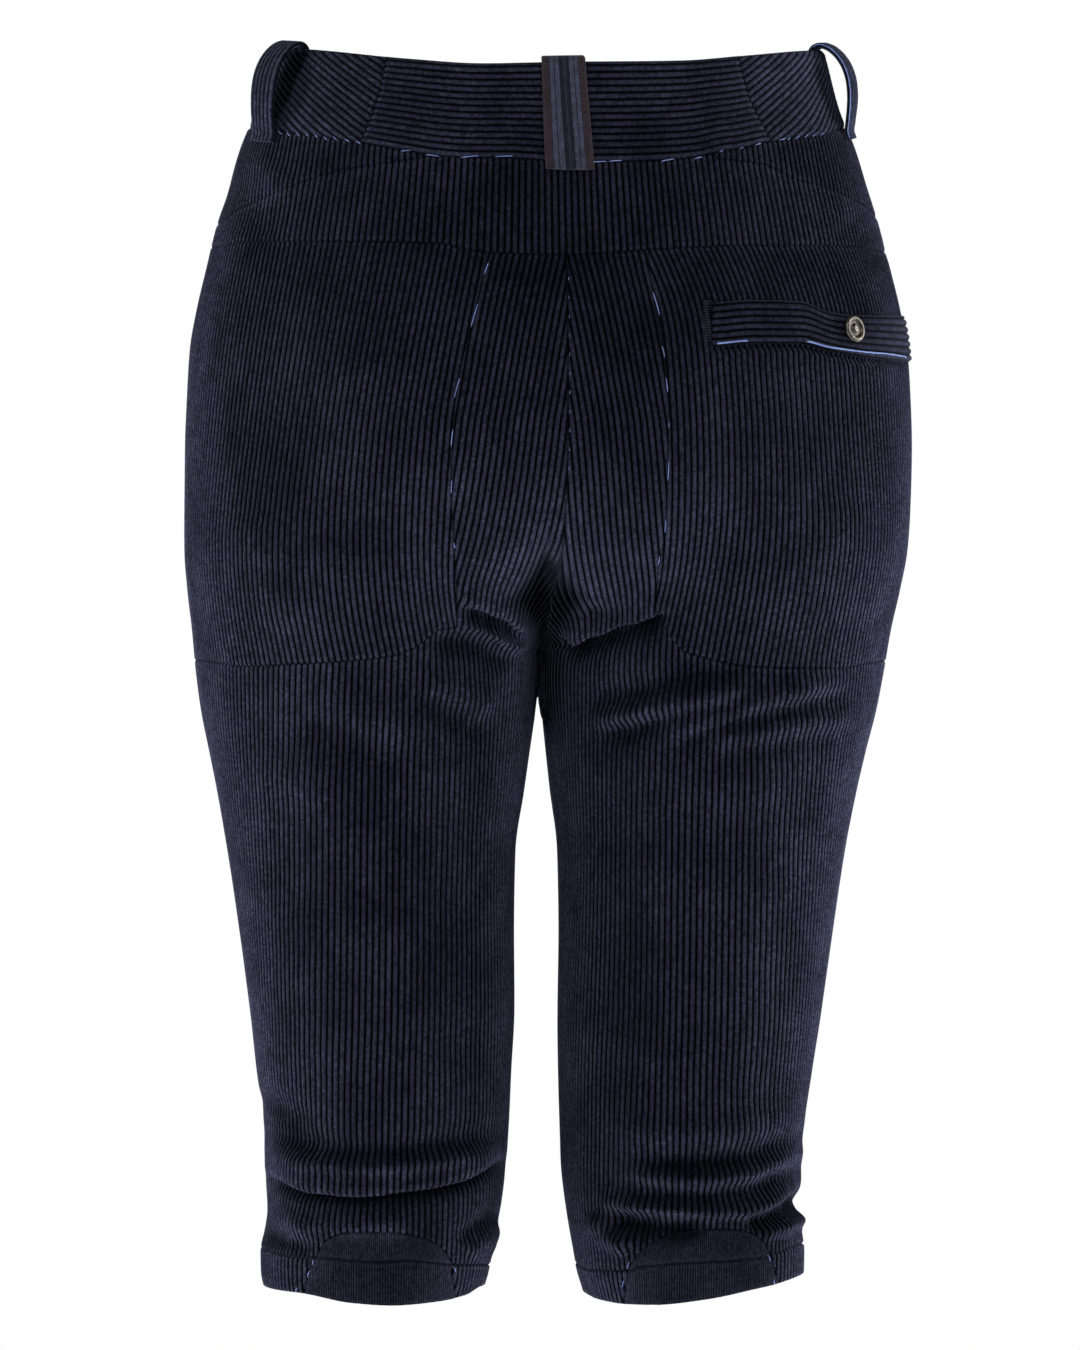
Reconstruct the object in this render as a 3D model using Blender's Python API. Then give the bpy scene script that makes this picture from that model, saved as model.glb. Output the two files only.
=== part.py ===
"""Corduroy knee breeches, filled out as worn, with nobody in them.

Metres, +Z up.  The origin is the middle of the waist, half way up the waistband.
The front of the garment faces -Y and its back faces +Y; the wearer's left is +X.
Every cut piece is a cloth wall worked out from one table of sections; neighbours
keep 0.3 mm between them at the seams.

The seam lines are drawn on the back elevation, a central view of the garment
from 3.5 m behind it and a little to its left; the front carries the same lines,
mirrored.  Seam and fold tables are in millimetres.
"""

import math
from collections import namedtuple

import bpy
import numpy as np
from mathutils import Matrix, Vector, kdtree

for old in list(bpy.data.objects):
    bpy.data.objects.remove(old, do_unlink=True)

MM = 0.001

# ---------------------------------------------------------------- driving sizes
WALL = 2.0 * MM          # corduroy with its pile
SEAM_GAP = 0.3 * MM      # between pieces
LAP = 2.4 * MM           # how far the right end of the waistband stands over the left
FLY_WIDTH = 36.0         # mm
LOOP_WIDTH = 20.0        # mm, belt loops
LOOP_WALL = 1.8 * MM
BUTTON_D = 13.5 * MM     # pocket button
WAIST_BUTTON_D = 17.0 * MM
TRUNK_SQUARE = 2.2       # superellipse exponents of the trunk and leg rings
LEG_SQUARE = 2.15
CROTCH_TOP = -160.0      # where the centre seams start to turn under, mm
CROTCH = -270.0          # the fork, mm
FORK_FROM, FORK_TO = -155.0, -305.0   # the trunk ring turns into two leg rings between these
SIDE_SEAM = 1.08         # ring place of the side seam: 0 centre back, 1 side, 2 centre front

# the back elevation: where it is seen from
VIEW_FAR = 3500.0
VIEW_X, VIEW_Z = 4.0, -282.5
VIEW_TURN = math.radians(4.0)

# ---------------------------------------------------------------- sections
# level of the section at the side; half width outside; half width inside (leg ring);
# depth at the back and at the front; sway of the centre line to the wearer's left
Section = namedtuple("Section", "level outer inner back front sway")
SECTIONS = [
    Section(50, 132.0, 0.15, 92.0, -96.0, 0.0),
    Section(25, 139.0, 0.15, 98.0, -100.0, 0.0),
    Section(0, 145.5, 0.15, 102.0, -104.0, 0.0),
    Section(-20, 153.5, 0.15, 107.0, -108.0, 0.0),
    Section(-40, 159.5, 0.15, 113.0, -111.0, 0.0),
    Section(-60, 165.7, 0.15, 119.0, -113.0, 0.0),
    Section(-80, 170.5, 0.15, 125.0, -114.0, 0.0),
    Section(-100, 175.2, 0.15, 130.0, -115.0, 0.0),
    Section(-120, 178.7, 0.15, 134.0, -115.0, 0.0),
    Section(-140, 180.0, 0.15, 136.0, -115.0, 0.0),
    Section(-170, 181.0, 0.15, 137.0, -114.0, 0.2),
    Section(-200, 180.7, 0.15, 134.0, -112.0, 0.8),
    Section(-220, 180.0, 0.15, 129.0, -110.0, 1.5),
    Section(-240, 177.5, 0.15, 120.0, -108.0, 2.5),
    Section(-260, 174.2, 0.15, 110.0, -106.0, 3.4),
    Section(-280, 171.7, 0.3, 102.0, -104.0, 4.0),
    Section(-300, 168.5, 2.0, 97.0, -102.0, 4.5),
    Section(-320, 164.0, 4.5, 93.0, -100.0, 5.0),
    Section(-340, 159.7, 7.0, 90.0, -98.0, 5.3),
    Section(-370, 154.2, 11.0, 85.0, -94.0, 5.6),
    Section(-410, 148.2, 11.7, 79.0, -88.0, 5.6),
    Section(-450, 142.7, 11.3, 74.0, -82.0, 5.8),
    Section(-480, 138.7, 12.2, 71.0, -78.0, 6.5),
    Section(-510, 134.7, 13.3, 69.0, -75.0, 6.8),
    Section(-530, 133.7, 14.5, 68.0, -73.0, 7.3),
    Section(-550, 132.5, 17.0, 67.0, -70.0, 7.4),
    Section(-570, 135.7, 20.7, 67.5, -69.0, 7.7),
    Section(-580, 135.5, 22.5, 67.0, -68.0, 7.7),
    Section(-592, 133.0, 26.0, 66.0, -67.0, 7.7),
    Section(-612, 130.0, 30.0, 65.0, -66.0, 7.7),
]

# ---------------------------------------------------------------- seam lines, mm
# across: height of the line at a distance from the centre line, left side +
WAIST_SEAM = [(-150, -8), (-146, -9), (-137, -12), (-118, -14), (-105, -16.5), (-97, -18.5),
              (-87, -20), (-75, -23), (-60, -24.5), (-29, -25.5), (-11, -25.5), (22, -24),
              (40, -24), (55, -23), (71, -20.5), (95, -16.5), (120, -13), (133, -11.5), (150, -10)]
TOP_EDGE = [(-150, 31.5), (-131, 31), (-102, 28.5), (-67, 25.5), (-8, 24.5), (34, 23.5),
            (69, 25.5), (119, 30), (150, 31.5)]
YOKE_SEAM = [(-175, -71), (-170, -70.5), (-147, -67), (-102, -67), (-49, -69.5), (-10, -72),
             (30, -71), (44, -69), (56, -66.5), (94, -66), (151, -66.5), (164, -69), (175, -70)]
# the rest is drawn for each side; distances are outwards from the centre line
HIP_SEAM = {+1: [(0, 10), (40, -12), (59, -23), (76, -26), (105, -31), (124, -37), (145, -46),
                 (154, -50.5), (164, -57.5), (172, -64)],
            -1: [(0, 10), (60, -10), (88, -24), (98, -25), (111, -27.5), (123, -33.5), (140, -38),
                 (153, -44), (162, -49.5), (166, -55), (172, -62)]}
SEAT_BOTTOM = {+1: [(40, -259), (46, -259), (54, -260), (58, -262.5), (65, -268), (76, -272.5),
                    (94, -275), (124, -277), (152, -278), (164, -276.5), (176, -275)],
               -1: [(40, -252), (56, -255.5), (62, -264.5), (68, -270.5), (81, -274.5), (99, -278),
                    (125, -279), (147, -279), (162, -276.5), (176, -274.5)]}
CUFF_SEAM = {+1: [(10, -575), (20, -576), (32, -577), (47, -577), (69, -575), (87, -575.5),
                  (111, -573.5), (118, -573), (130, -572), (141, -569), (152, -566)],
             -1: [(8, -575), (14, -577), (21, -580), (40, -580.5), (47, -578.5), (72, -577),
                  (108, -574.5), (111, -573.5), (128, -567), (140, -564)]}
GUSSET_ARCH = {+1: [(40, -590), (49, -574), (53, -568.5), (63, -563.5), (81, -561), (99, -561),
                    (109, -563.5), (115, -571), (122, -588)],
               -1: [(33, -592), (43, -575), (52, -566.5), (65, -561.5), (85, -560), (100, -561.5),
                    (108, -566.5), (111.5, -573), (118, -590)]}
HEM = {+1: [(10, -585), (32, -588), (40, -592.5), (57, -596), (77, -597.5), (99, -596),
            (121, -591.5), (138, -589), (150, -584)],
       -1: [(8, -588), (15, -590.5), (24, -595), (38, -597.5), (53, -598), (79, -595.5),
            (104, -590.5), (115, -588), (124, -585), (140, -577)]}
FLY_CURVE = [(0, -152), (12, -149), (22, -141), (30, -127), (36, -104), (45, 20)]
# down: distance from the centre line at a height
MITRE = {+1: [(45, 77), (24, 81.5), (10, 84.5), (-10, 91.5), (-20, 96.5), (-30, 101)],
         -1: [(45, 93), (26, 96.5), (10, 100.5), (-12, 111), (-20, 115), (-30, 119)]}
SEAT_INNER = {+1: [(-60, 26.5), (-72, 29), (-82, 32), (-102, 37), (-139, 45.5), (-164, 48), (-188, 48.5),
                   (-218, 47), (-245, 45.5), (-300, 45.5)],
              -1: [(-60, 47.5), (-70, 49), (-90, 52.5), (-123, 58), (-155, 60.5), (-185, 60),
                   (-211, 58.5), (-234, 55), (-250, 54), (-256, 56.5), (-300, 57)]}
INSERT_IN = {+1: [(-560, 49), (-575, 48.5), (-592, 46), (-610, 44)],
             -1: [(-560, 42), (-574, 40.5), (-597, 37.5), (-610, 36)]}
INSERT_OUT = {+1: [(-560, 117), (-575, 118.5), (-592, 122), (-610, 124)],
              -1: [(-560, 111), (-574, 112), (-588, 116), (-610, 120)]}
# the pocket flap on the right seat panel, height of its edges at a distance outwards
FLAP_TOP = [(75, -97), (81, -96.5), (102, -95), (125, -95.5), (140, -101), (155, -102.5), (180, -102.5)]
FLAP_LOW = [(75, -118), (83, -118), (102, -116.5), (125, -116.5), (140, -120), (156, -123),
            (170, -124.5), (180, -126)]
FLAP_IN, FLAP_OUT = 81.5, 179.0
PIPING = [(84, -116.3), (102, -114.7), (125, -114.7), (140, -118), (156, -120.2), (170, -121.4), (177, -122.6)]

# ---------------------------------------------------------------- the largest folds
# face: which side carries it; rise above the cloth; reach to each side of the line
Fold = namedtuple("Fold", "side face rise reach line")
FOLDS = [
    Fold(+1, "back", 4.5, 9.0, [(140, -522), (118, -530), (87, -533), (60, -531), (40, -526), (20, -516)]),
    Fold(+1, "back", -6.5, 6.0, [(141, -534), (129, -539), (111, -543), (87, -545), (63, -543), (44, -537), (22, -528)]),
    Fold(-1, "back", 4.0, 9.0, [(20, -531), (53, -536), (79, -539), (102, -539), (116, -533), (130, -524)]),
    Fold(-1, "back", -5.0, 7.0, [(24, -544), (53, -548), (79, -552), (102, -552), (115, -546), (129, -538)]),
    Fold(+1, "back", -4.0, 9.0, [(52, -232), (40, -243), (24, -257), (8, -270)]),
    Fold(-1, "back", -4.0, 9.0, [(8, -243), (28, -250), (44, -255), (60, -262)]),
    Fold(-1, "back", 3.0, 9.0, [(16, -309), (38, -302), (62, -295), (86, -290), (112, -284)]),
    Fold(+1, "back", 2.5, 9.0, [(60, -281), (40, -290), (24, -300)]),
    Fold(+1, "front", 4.0, 9.0, [(140, -540), (110, -532), (80, -528), (50, -532), (25, -540)]),
    Fold(+1, "front", -4.5, 7.0, [(140, -552), (110, -545), (80, -541), (50, -545), (25, -552)]),
    Fold(-1, "front", 4.0, 9.0, [(22, -536), (50, -528), (80, -526), (110, -530), (138, -538)]),
    Fold(-1, "front", -4.5, 7.0, [(22, -549), (50, -541), (80, -539), (110, -543), (138, -550)]),
    Fold(+1, "front", -2.0, 11.0, [(14, -246), (40, -236), (75, -222), (110, -212)]),
    Fold(-1, "front", -2.0, 11.0, [(14, -250), (42, -240), (78, -228), (112, -220)]),
]

# ---------------------------------------------------------------- grid of the cloth
RING = [0, .08, .18, .29, .40, .51, .62, .73, .84, .95, SIDE_SEAM, 1.20, 1.33, 1.46, 1.60, 1.73,
        1.85, 1.93, 2.0]
LEVELS = [36, 16, 0, -16, -34, -56, -82, -110, -136, -160, -182, -204, -226, -246, -266, -288, -314,
          -346, -384, -424, -462, -492, -511, -524, -534, -543, -552, -563, -575, -588, -601]


def smooth_line(rows, key=0, value=1):
    """A curve through a table's rows that never overshoots them."""
    rows = sorted((r[key], r[value]) for r in rows)
    xs, ys = np.array(rows, float).T
    h = np.diff(xs)
    d = np.diff(ys) / h
    m = np.zeros(len(xs))
    m[0], m[-1] = d[0], d[-1]
    for i in range(1, len(xs) - 1):
        if d[i - 1] * d[i] > 0:
            a, b = 2 * h[i] + h[i - 1], h[i] + 2 * h[i - 1]
            m[i] = (a + b) / (a / d[i - 1] + b / d[i])

    def line(x):
        x = np.clip(x, xs[0], xs[-1])
        i = np.clip(np.searchsorted(xs, x) - 1, 0, len(xs) - 2)
        t = (x - xs[i]) / h[i]
        return ((1 + 2 * t) * (1 - t) ** 2 * ys[i] + t * (1 - t) ** 2 * h[i] * m[i]
                + t * t * (3 - 2 * t) * ys[i + 1] + t * t * (t - 1) * h[i] * m[i + 1])

    return line


def step(x, a, b):
    """0 at a and 1 at b, smooth between."""
    u = np.clip((x - a) / (b - a), 0, 1)
    return u * u * (3 - 2 * u)


def power(v, n):
    return np.sign(v) * np.abs(v) ** (2.0 / n)


column = {f: smooth_line(SECTIONS, 0, i) for i, f in enumerate(Section._fields) if i}
waist_line, top_line, yoke_line = map(smooth_line, (WAIST_SEAM, TOP_EDGE, YOKE_SEAM))
by_side = {name: {s: smooth_line(rows[s]) for s in (1, -1)} for name, rows in dict(
    hip=HIP_SEAM, bottom=SEAT_BOTTOM, cuff=CUFF_SEAM, arch=GUSSET_ARCH, hem=HEM, mitre=MITRE,
    inner=SEAT_INNER, insert_in=INSERT_IN, insert_out=INSERT_OUT).items()}
fly_line, flap_top, flap_low = map(smooth_line, (FLY_CURVE, FLAP_TOP, FLAP_LOW))


def sided(name, side, x):
    return np.where(side > 0, by_side[name][1](x), by_side[name][-1](x))


def ring_place(t):
    """Ring place wrapped to -2..2: 0 centre back, +-1 the sides, +-2 centre front."""
    t = np.asarray(t, float)
    t = np.where(np.abs(t) > 2, (t + 2) % 4 - 2, t)
    return np.where(t >= 0, 1.0, -1.0), np.abs(t) - 1


def bare(side, q, level):
    """The cloth's outer face without folds, mm: q is -1 at the back, 0 at the side, 1 at the front."""
    xo, xi, yb, yf, sway = (column[f](level) for f in ("outer", "inner", "back", "front", "sway"))
    # trunk ring
    a = q * math.pi / 2
    mid = (yb + yf) / 2 * 0.6
    depth = np.where(q < 0, yb - mid, mid - yf)
    tx = xo * power(np.cos(a), TRUNK_SQUARE)
    ty = mid - depth * power(np.sin(a), TRUNK_SQUARE)
    # leg ring
    b = q * math.pi
    lx = (xo + xi) / 2 + (xo - xi) / 2 * power(np.cos(b), LEG_SQUARE)
    ly = (yb + yf) / 2 - (yb - yf) / 2 * power(np.sin(b), LEG_SQUARE)
    # the centre seams turn under to the fork as a quarter ellipse
    turn = np.clip((CROTCH_TOP - level) / (CROTCH_TOP - CROTCH), 0, 1) * math.pi / 2
    seam_fork = 1 - np.cos(turn)
    seam_z = np.where(level > CROTCH, CROTCH_TOP - (CROTCH_TOP - CROTCH) * np.sin(turn), level)
    seam_z = np.where(level > CROTCH_TOP, level, seam_z)
    near = step(np.abs(q), 0.55, 1.0)
    fork = (1 - near) * step(level, FORK_FROM, FORK_TO) + near * seam_fork
    x = (1 - fork) * tx + fork * lx
    y = (1 - fork) * ty + fork * ly
    z = level + near * (seam_z - level)
    return np.stack([side * x + sway, y, z], -1)


def elevation(p):
    """Where a point is drawn on the back elevation (the front is drawn as its mirror), mm."""
    y = np.abs(p[..., 1])
    k = 1 / (1 - y / VIEW_FAR)
    x = p[..., 0] * math.cos(VIEW_TURN) - y * math.sin(VIEW_TURN)
    return VIEW_X + (x - VIEW_X) * k, VIEW_Z + (p[..., 2] - VIEW_Z) * k


def along(line, ax, ez):
    """Distance from a fold's line, and the place along it from 0 to 1."""
    pts = np.array(line, float)
    legs = np.linalg.norm(np.diff(pts, axis=0), axis=1)
    far = np.full(ax.shape, 1e9)
    place = np.zeros(ax.shape)
    run = 0.0
    for i, leg in enumerate(legs):
        dx, dz = (pts[i + 1] - pts[i]) / leg
        s = (ax - pts[i, 0]) * dx + (ez - pts[i, 1]) * dz
        s = np.clip(s, 0, leg)
        d = np.hypot(ax - pts[i, 0] - s * dx, ez - pts[i, 1] - s * dz)
        place = np.where(d < far, (run + s) / legs.sum(), place)
        far = np.minimum(far, d)
        run += leg
    return far, place


def fold_rise(side, q, p):
    ex, ez = elevation(p)
    ax = ex * side
    rise = np.zeros(ax.shape)
    mirror = np.where(side > 0, 1, -1)
    for f in FOLDS:
        d, s = along(f.line, ax, ez)
        ends = step(s, -0.02, 0.3) * step(s, 1.02, 0.7)
        face = step(q, 0.12, -0.12) if f.face == "back" else step(q, -0.12, 0.12)
        rise = rise + np.where(mirror == f.side, f.rise * np.exp(-(d / f.reach) ** 2) * ends * face, 0)
    # nothing moves at the centre seams
    return rise * step(1 - np.abs(q), 0.0, 0.09)


def normals(fn, side, q, level):
    dq, dl = 0.004, 0.6
    q0, q1 = np.clip(q - dq, -1, 1), np.clip(q + dq, -1, 1)
    u = fn(side, q1, level) - fn(side, q0, level)
    v = fn(side, q, level + dl) - fn(side, q, level - dl)
    n = np.cross(v, u) * np.asarray(side)[..., None]
    return n / np.maximum(np.linalg.norm(n, axis=-1, keepdims=True), 1e-9)


def folded(side, q, level):
    p = bare(side, q, level)
    return p + normals(bare, side, q, level) * fold_rise(side, q, p)[..., None]


def cloth(t, level):
    """Outer face and its normal at ring places t and levels, mm."""
    side, q = ring_place(t)
    level = np.asarray(level, float)
    return folded(side, q, level), normals(folded, side, q, level)


def fields(t, level, p):
    """Signed distances from every seam, mm, positive on the side that each name says."""
    side, q = ring_place(t)
    ex, ez = elevation(p)
    ax = ex * side
    back = q < 0
    f = dict(
        over_waist=ez - waist_line(ex),
        under_top=top_line(ex) - ez,
        over_hip=ez - sided("hip", side, ax),
        over_yoke=ez - yoke_line(ex),
        behind_side=(SIDE_SEAM - 1 - q) * 220,
        over_cuff=ez - sided("cuff", side, ax),
        over_hem=ez - sided("hem", side, ax),
        outside_mitre=np.where(back, ax - sided("mitre", side, ez), 40),
        under_arch=np.where(back, sided("arch", side, ax) - ez, -20),
        in_insert=np.where(back, np.minimum(ax - sided("insert_in", side, ez),
                                            sided("insert_out", side, ez) - ax), -20),
    )
    strip = sided("inner", side, ez) - ax
    low = sided("bottom", side, ax) - ez
    f["back_leg"] = np.maximum(strip, low)
    f["from_back"] = (1 + q) * 220
    f["from_front"] = (1 - q) * 220
    f["ax"], f["ez"] = ax, ez
    return f


# ---------------------------------------------------------------- making pieces
def shade(name, colour, roughness, metallic=0.0):
    m = bpy.data.materials.new(name)
    m.use_nodes = True
    b = m.node_tree.nodes["Principled BSDF"]
    b.inputs["Base Color"].default_value = (*colour, 1)
    b.inputs["Roughness"].default_value = roughness
    b.inputs["Metallic"].default_value = metallic
    return m


CORD = shade("navy_corduroy", (0.012, 0.013, 0.022), 0.9)
FINE = shade("fine_cord", (0.014, 0.015, 0.024), 0.9)
WEB = shade("striped_webbing", (0.035, 0.036, 0.055), 0.8)
BLUE = shade("light_blue_piping", (0.28, 0.34, 0.75), 0.7)
METAL = shade("aged_metal", (0.16, 0.14, 0.12), 0.35, 1.0)


def clip(corners, value):
    """Cuts the corners of a face, given as weights, where a value falls under nothing."""
    out = []
    for i, w in enumerate(corners):
        v = corners[(i + 1) % len(corners)]
        a, b = float(np.dot(w, value)), float(np.dot(v, value))
        if a >= 0:
            out.append(w)
        if (a >= 0) != (b >= 0):
            s = a / (a - b)
            out.append(w + (v - w) * s)
    return out


def wall(name, sheet_points, sheet_normals, faces, thick, material, centre_gap=None):
    """A closed wall from a sheet: the sheet is its outer face."""
    tree = kdtree.KDTree(len(sheet_points))
    for i, p in enumerate(sheet_points):
        tree.insert(p, i)
    tree.balance()
    same = list(range(len(sheet_points)))
    for i, p in enumerate(sheet_points):
        same[i] = min(j for _, j, _ in tree.find_range(p, 0.06 * MM))
    for i in range(len(same)):
        while same[same[i]] != same[i]:
            same[i] = same[same[i]]
    keep, flat = {}, []
    for f in faces:
        g = []
        for i in f:
            k = same[i]
            if not g or g[-1] != k:
                g.append(k)
        while len(g) > 1 and g[0] == g[-1]:
            g.pop()
        if len(set(g)) < 3 or len(set(g)) != len(g):
            continue
        for j in range(1, len(g) - 1):
            flat.append((g[0], g[j], g[j + 1]))
    for f in flat:
        for i in f:
            keep.setdefault(i, len(keep))
    n = len(keep)
    outer = [Vector(sheet_points[i]) for i in keep]
    inner = [Vector(sheet_points[i]) - Vector(sheet_normals[i]) * thick for i in keep]
    if centre_gap is not None:
        for i, (o, p) in enumerate(zip(outer, inner)):
            side, sway = centre_gap(o)
            if side * (o.x - sway) < 3 * MM:
                p.x = sway + side * max(side * (p.x - sway), side * (o.x - sway))
    tris = [tuple(keep[i] for i in f) for f in flat]
    edges = {}
    for f in tris:
        for a, b in zip(f, f[1:] + f[:1]):
            edges[(a, b)] = edges.get((a, b), 0) + 1
    all_faces = list(tris) + [(c + n, b + n, a + n) for a, b, c in tris]
    for (a, b) in edges:
        if (b, a) not in edges:
            all_faces += [(b, a, a + n), (b, a + n, b + n)]
    mesh = bpy.data.meshes.new(name)
    mesh.from_pydata([tuple(v) for v in outer + inner], [], all_faces)
    mesh.validate()
    mesh.materials.append(material)
    ob = bpy.data.objects.new(name, mesh)
    bpy.context.scene.collection.objects.link(ob)
    mesh.shade_smooth()
    mesh.set_sharp_from_angle(angle=math.radians(50))
    return ob


def panel(name, ring, levels, inside, material=CORD, lift=0.0, thick=WALL, raise_by=None):
    """One cut piece: the cells of the cloth's grid, cut to where every field is positive."""
    t, level = np.meshgrid(np.array(ring, float), np.array(levels, float), indexing="ij")
    p, n = cloth(t, level)
    keep = inside(t, level, fields(t, level, p))
    up = lift + (raise_by(t, level) if raise_by is not None else 0.0)
    p = p * MM + n * np.broadcast_to(up, t.shape)[..., None]
    values = [np.asarray(k, float) - SEAM_GAP / 2 / MM for k in keep]
    points, norms, faces = [], [], []
    turned = ring[1] < ring[0]
    out_from = [abs(r) if abs(r) <= 2 else 4 - abs(r) for r in ring]
    for i in range(t.shape[0] - 1):
        for j in range(t.shape[1] - 1):
            square = [(i, j), (i + 1, j), (i + 1, j + 1), (i, j + 1)]
            # a cell has the same diagonal in every piece that shares it, mirrored left and right
            flip = out_from[i + 1] > out_from[i]
            if flip:
                cells = ((0, 1, 2), (0, 2, 3))
            else:
                cells = ((0, 1, 3), (1, 2, 3))
            for cell in cells:
                ids = [square[c] for c in cell]
                w = [np.eye(3)[k] for k in range(3)]
                for v in values:
                    w = clip(w, np.array([v[a] for a in ids]))
                    if len(w) < 3:
                        break
                if len(w) < 3:
                    continue
                corner = np.array([p[a] for a in ids])
                cn = np.array([n[a] for a in ids])
                face = []
                for k in w:
                    face.append(len(points))
                    points.append(k @ corner)
                    m = k @ cn
                    norms.append(m / np.linalg.norm(m))
                if turned:
                    face.reverse()
                faces.append(face)

    def centre(o):
        side = 1.0 if sum(ring) > 0 else -1.0
        return side, float(column["sway"](o.z / MM)) * MM

    gap = centre if min(ring) >= 0 or max(ring) <= 0 else None
    ob = wall(name, points, norms, faces, thick, material, gap)
    return ob


def half(side, a=0.0, b=2.0):
    return [side * max(r, 1e-7) for r in RING if a <= r <= b]


across = [-r for r in RING if 0 < r <= 1.0][::-1] + [r for r in RING if r <= 1.0]
over_side = [-r for r in RING if 0 < r <= SIDE_SEAM][::-1] + [r for r in RING if r <= SIDE_SEAM]
upper = [l for l in LEVELS if l >= -120]
lower = [l for l in LEVELS if l <= -530]

# ---------------------------------------------------------------- cut pieces
panel("waistband_back", across, [l for l in LEVELS if l >= -60],
      lambda t, l, f: [f["over_waist"], f["under_top"], -f["outside_mitre"]])
panel("yoke_back", over_side, upper,
      lambda t, l, f: [-f["over_waist"], -f["over_hip"], f["over_yoke"], f["behind_side"]])

for side, tag in ((1, "l"), (-1, "r")):
    whole = half(side)
    if side > 0:
        panel("waistband_side_l", whole, [l for l in LEVELS if l >= -60],
              lambda t, l, f: [f["over_waist"], f["under_top"], f["outside_mitre"], f["from_front"]])
    else:
        # the right end laps over the left past the centre front
        lapped = half(side) + [-2.07, -2.15]
        panel("waistband_side_r", lapped, [l for l in LEVELS if l >= -60],
              lambda t, l, f: [f["over_waist"], f["under_top"], f["outside_mitre"]],
              raise_by=lambda t, l: LAP * step(-t, 1.85, 1.93))
    panel(f"hip_{tag}", whole, upper,
          lambda t, l, f: [-f["over_waist"], f["over_hip"], f["from_front"]])
    panel(f"seat_{tag}", half(side, 0, SIDE_SEAM), [l for l in LEVELS if -40 >= l >= -320],
          lambda t, l, f: [-f["over_yoke"], -f["over_hip"], f["behind_side"], -f["back_leg"] - 0.08])
    panel(f"back_leg_{tag}", half(side, 0, SIDE_SEAM), [l for l in LEVELS if -40 >= l],
          lambda t, l, f: [-f["over_yoke"], f["behind_side"], f["back_leg"], f["over_cuff"],
                           -f["under_arch"], f["from_back"]])
    panel(f"front_{tag}", half(side, SIDE_SEAM, 2), [l for l in LEVELS],
          lambda t, l, f: [-f["over_waist"], -f["over_hip"], -f["behind_side"], f["over_cuff"],
                           f["from_front"]])
    # the knee band runs on across the inseam, where its ring closes
    panel(f"cuff_{tag}", whole, lower,
          lambda t, l, f: [-f["over_cuff"], f["over_hem"], -f["in_insert"]])
    panel(f"cuff_insert_{tag}", half(side, 0, 1.0), lower,
          lambda t, l, f: [-f["over_cuff"], f["over_hem"], f["in_insert"]], FINE)
    panel(f"knee_gusset_{tag}", half(side, 0, 1.0), lower,
          lambda t, l, f: [f["over_cuff"], f["under_arch"]], FINE)

# the fly placket, lapping the centre front, right over left
fly_ring = [-1.60, -1.73, -1.85, -1.93, -2.0, -2.07]
panel("fly", fly_ring, [l for l in LEVELS if 2 >= l >= -178],
      lambda t, l, f: [-f["over_waist"] - 0.6, f["ez"] - fly_line(f["ax"]),
                       (t + 2.035) * 220], lift=1.8 * MM, thick=1.5 * MM)

# the pocket flap and its piping, on the right seat panel
panel("pocket_flap", half(-1, 0, 1.0) , [l for l in LEVELS if -56 >= l >= -160],
      lambda t, l, f: [flap_top(f["ax"]) - f["ez"], f["ez"] - flap_low(f["ax"]),
                       f["ax"] - FLAP_IN, FLAP_OUT - f["ax"]], lift=2.3 * MM, thick=2.0 * MM)


# ---------------------------------------------------------------- places on the cloth
def find_places(side, ax, ez):
    """Ring places and levels on the back whose drawing on the elevation is (ax, ez)."""
    ax, ez = np.asarray(ax, float), np.asarray(ez, float)
    sides = np.full(ax.shape, float(side))
    q, level = np.full(ax.shape, -0.5), ez.copy()

    def drawn(q, level):
        ex, z = elevation(bare(sides, q, level))
        return ex * side, z

    for _ in range(25):
        x0, z0 = drawn(q, level)
        dq, dl = 1e-4, 1e-2
        x1, z1 = drawn(q + dq, level)
        x2, z2 = drawn(q, level + dl)
        a, b, c, d = (x1 - x0) / dq, (x2 - x0) / dl, (z1 - z0) / dq, (z2 - z0) / dl
        det = a * d - b * c
        rx, rz = ax - x0, ez - z0
        q = np.clip(q + np.clip((d * rx - b * rz) / det, -.1, .1), -.998, -.002)
        level = level + np.clip((a * rz - c * rx) / det, -20, 20)
    return side * (q + 1), level


def facet_point(t, level):
    """The point of the panels' own facets at a place: the cloth between its grid lines."""
    s = 1 if t >= 0 else -1
    ring = [s * r for r in RING]
    i = max(k for k in range(len(RING) - 1) if RING[k] <= abs(t) + 1e-9)
    j = max(k for k in range(len(LEVELS) - 1) if LEVELS[k] >= level - 1e-9)
    u = (abs(t) - RING[i]) / (RING[i + 1] - RING[i])
    v = (LEVELS[j] - level) / (LEVELS[j] - LEVELS[j + 1])
    T, L = np.meshgrid([ring[i], ring[i + 1]], [LEVELS[j], LEVELS[j + 1]], indexing="ij")
    p, n = cloth(T, L)
    w = np.array([[(1 - u) * (1 - v), (1 - u) * v], [u * (1 - v), u * v]])
    q = (p * w[..., None]).sum((0, 1))
    m = (n * w[..., None]).sum((0, 1))
    return q * MM, m / np.linalg.norm(m)


def strip(name, rows, thick, material):
    """A band from rows of points: each row is (points across, normals across) of its inner face."""
    pts, nrm, faces = [], [], []
    wide = len(rows[0][0])
    for points, norms in rows:
        pts += [tuple(p) for p in points]
        nrm += [tuple(n) for n in norms]
    for r in range(len(rows) - 1):
        for c in range(wide - 1):
            a = r * wide + c
            faces.append([a, a + wide, a + 1 + wide, a + 1])
    out = [Vector(p) + Vector(n) * thick for p, n in zip(pts, nrm)]
    return wall(name, out, [Vector(n) for n in nrm], faces, thick, material)


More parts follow.
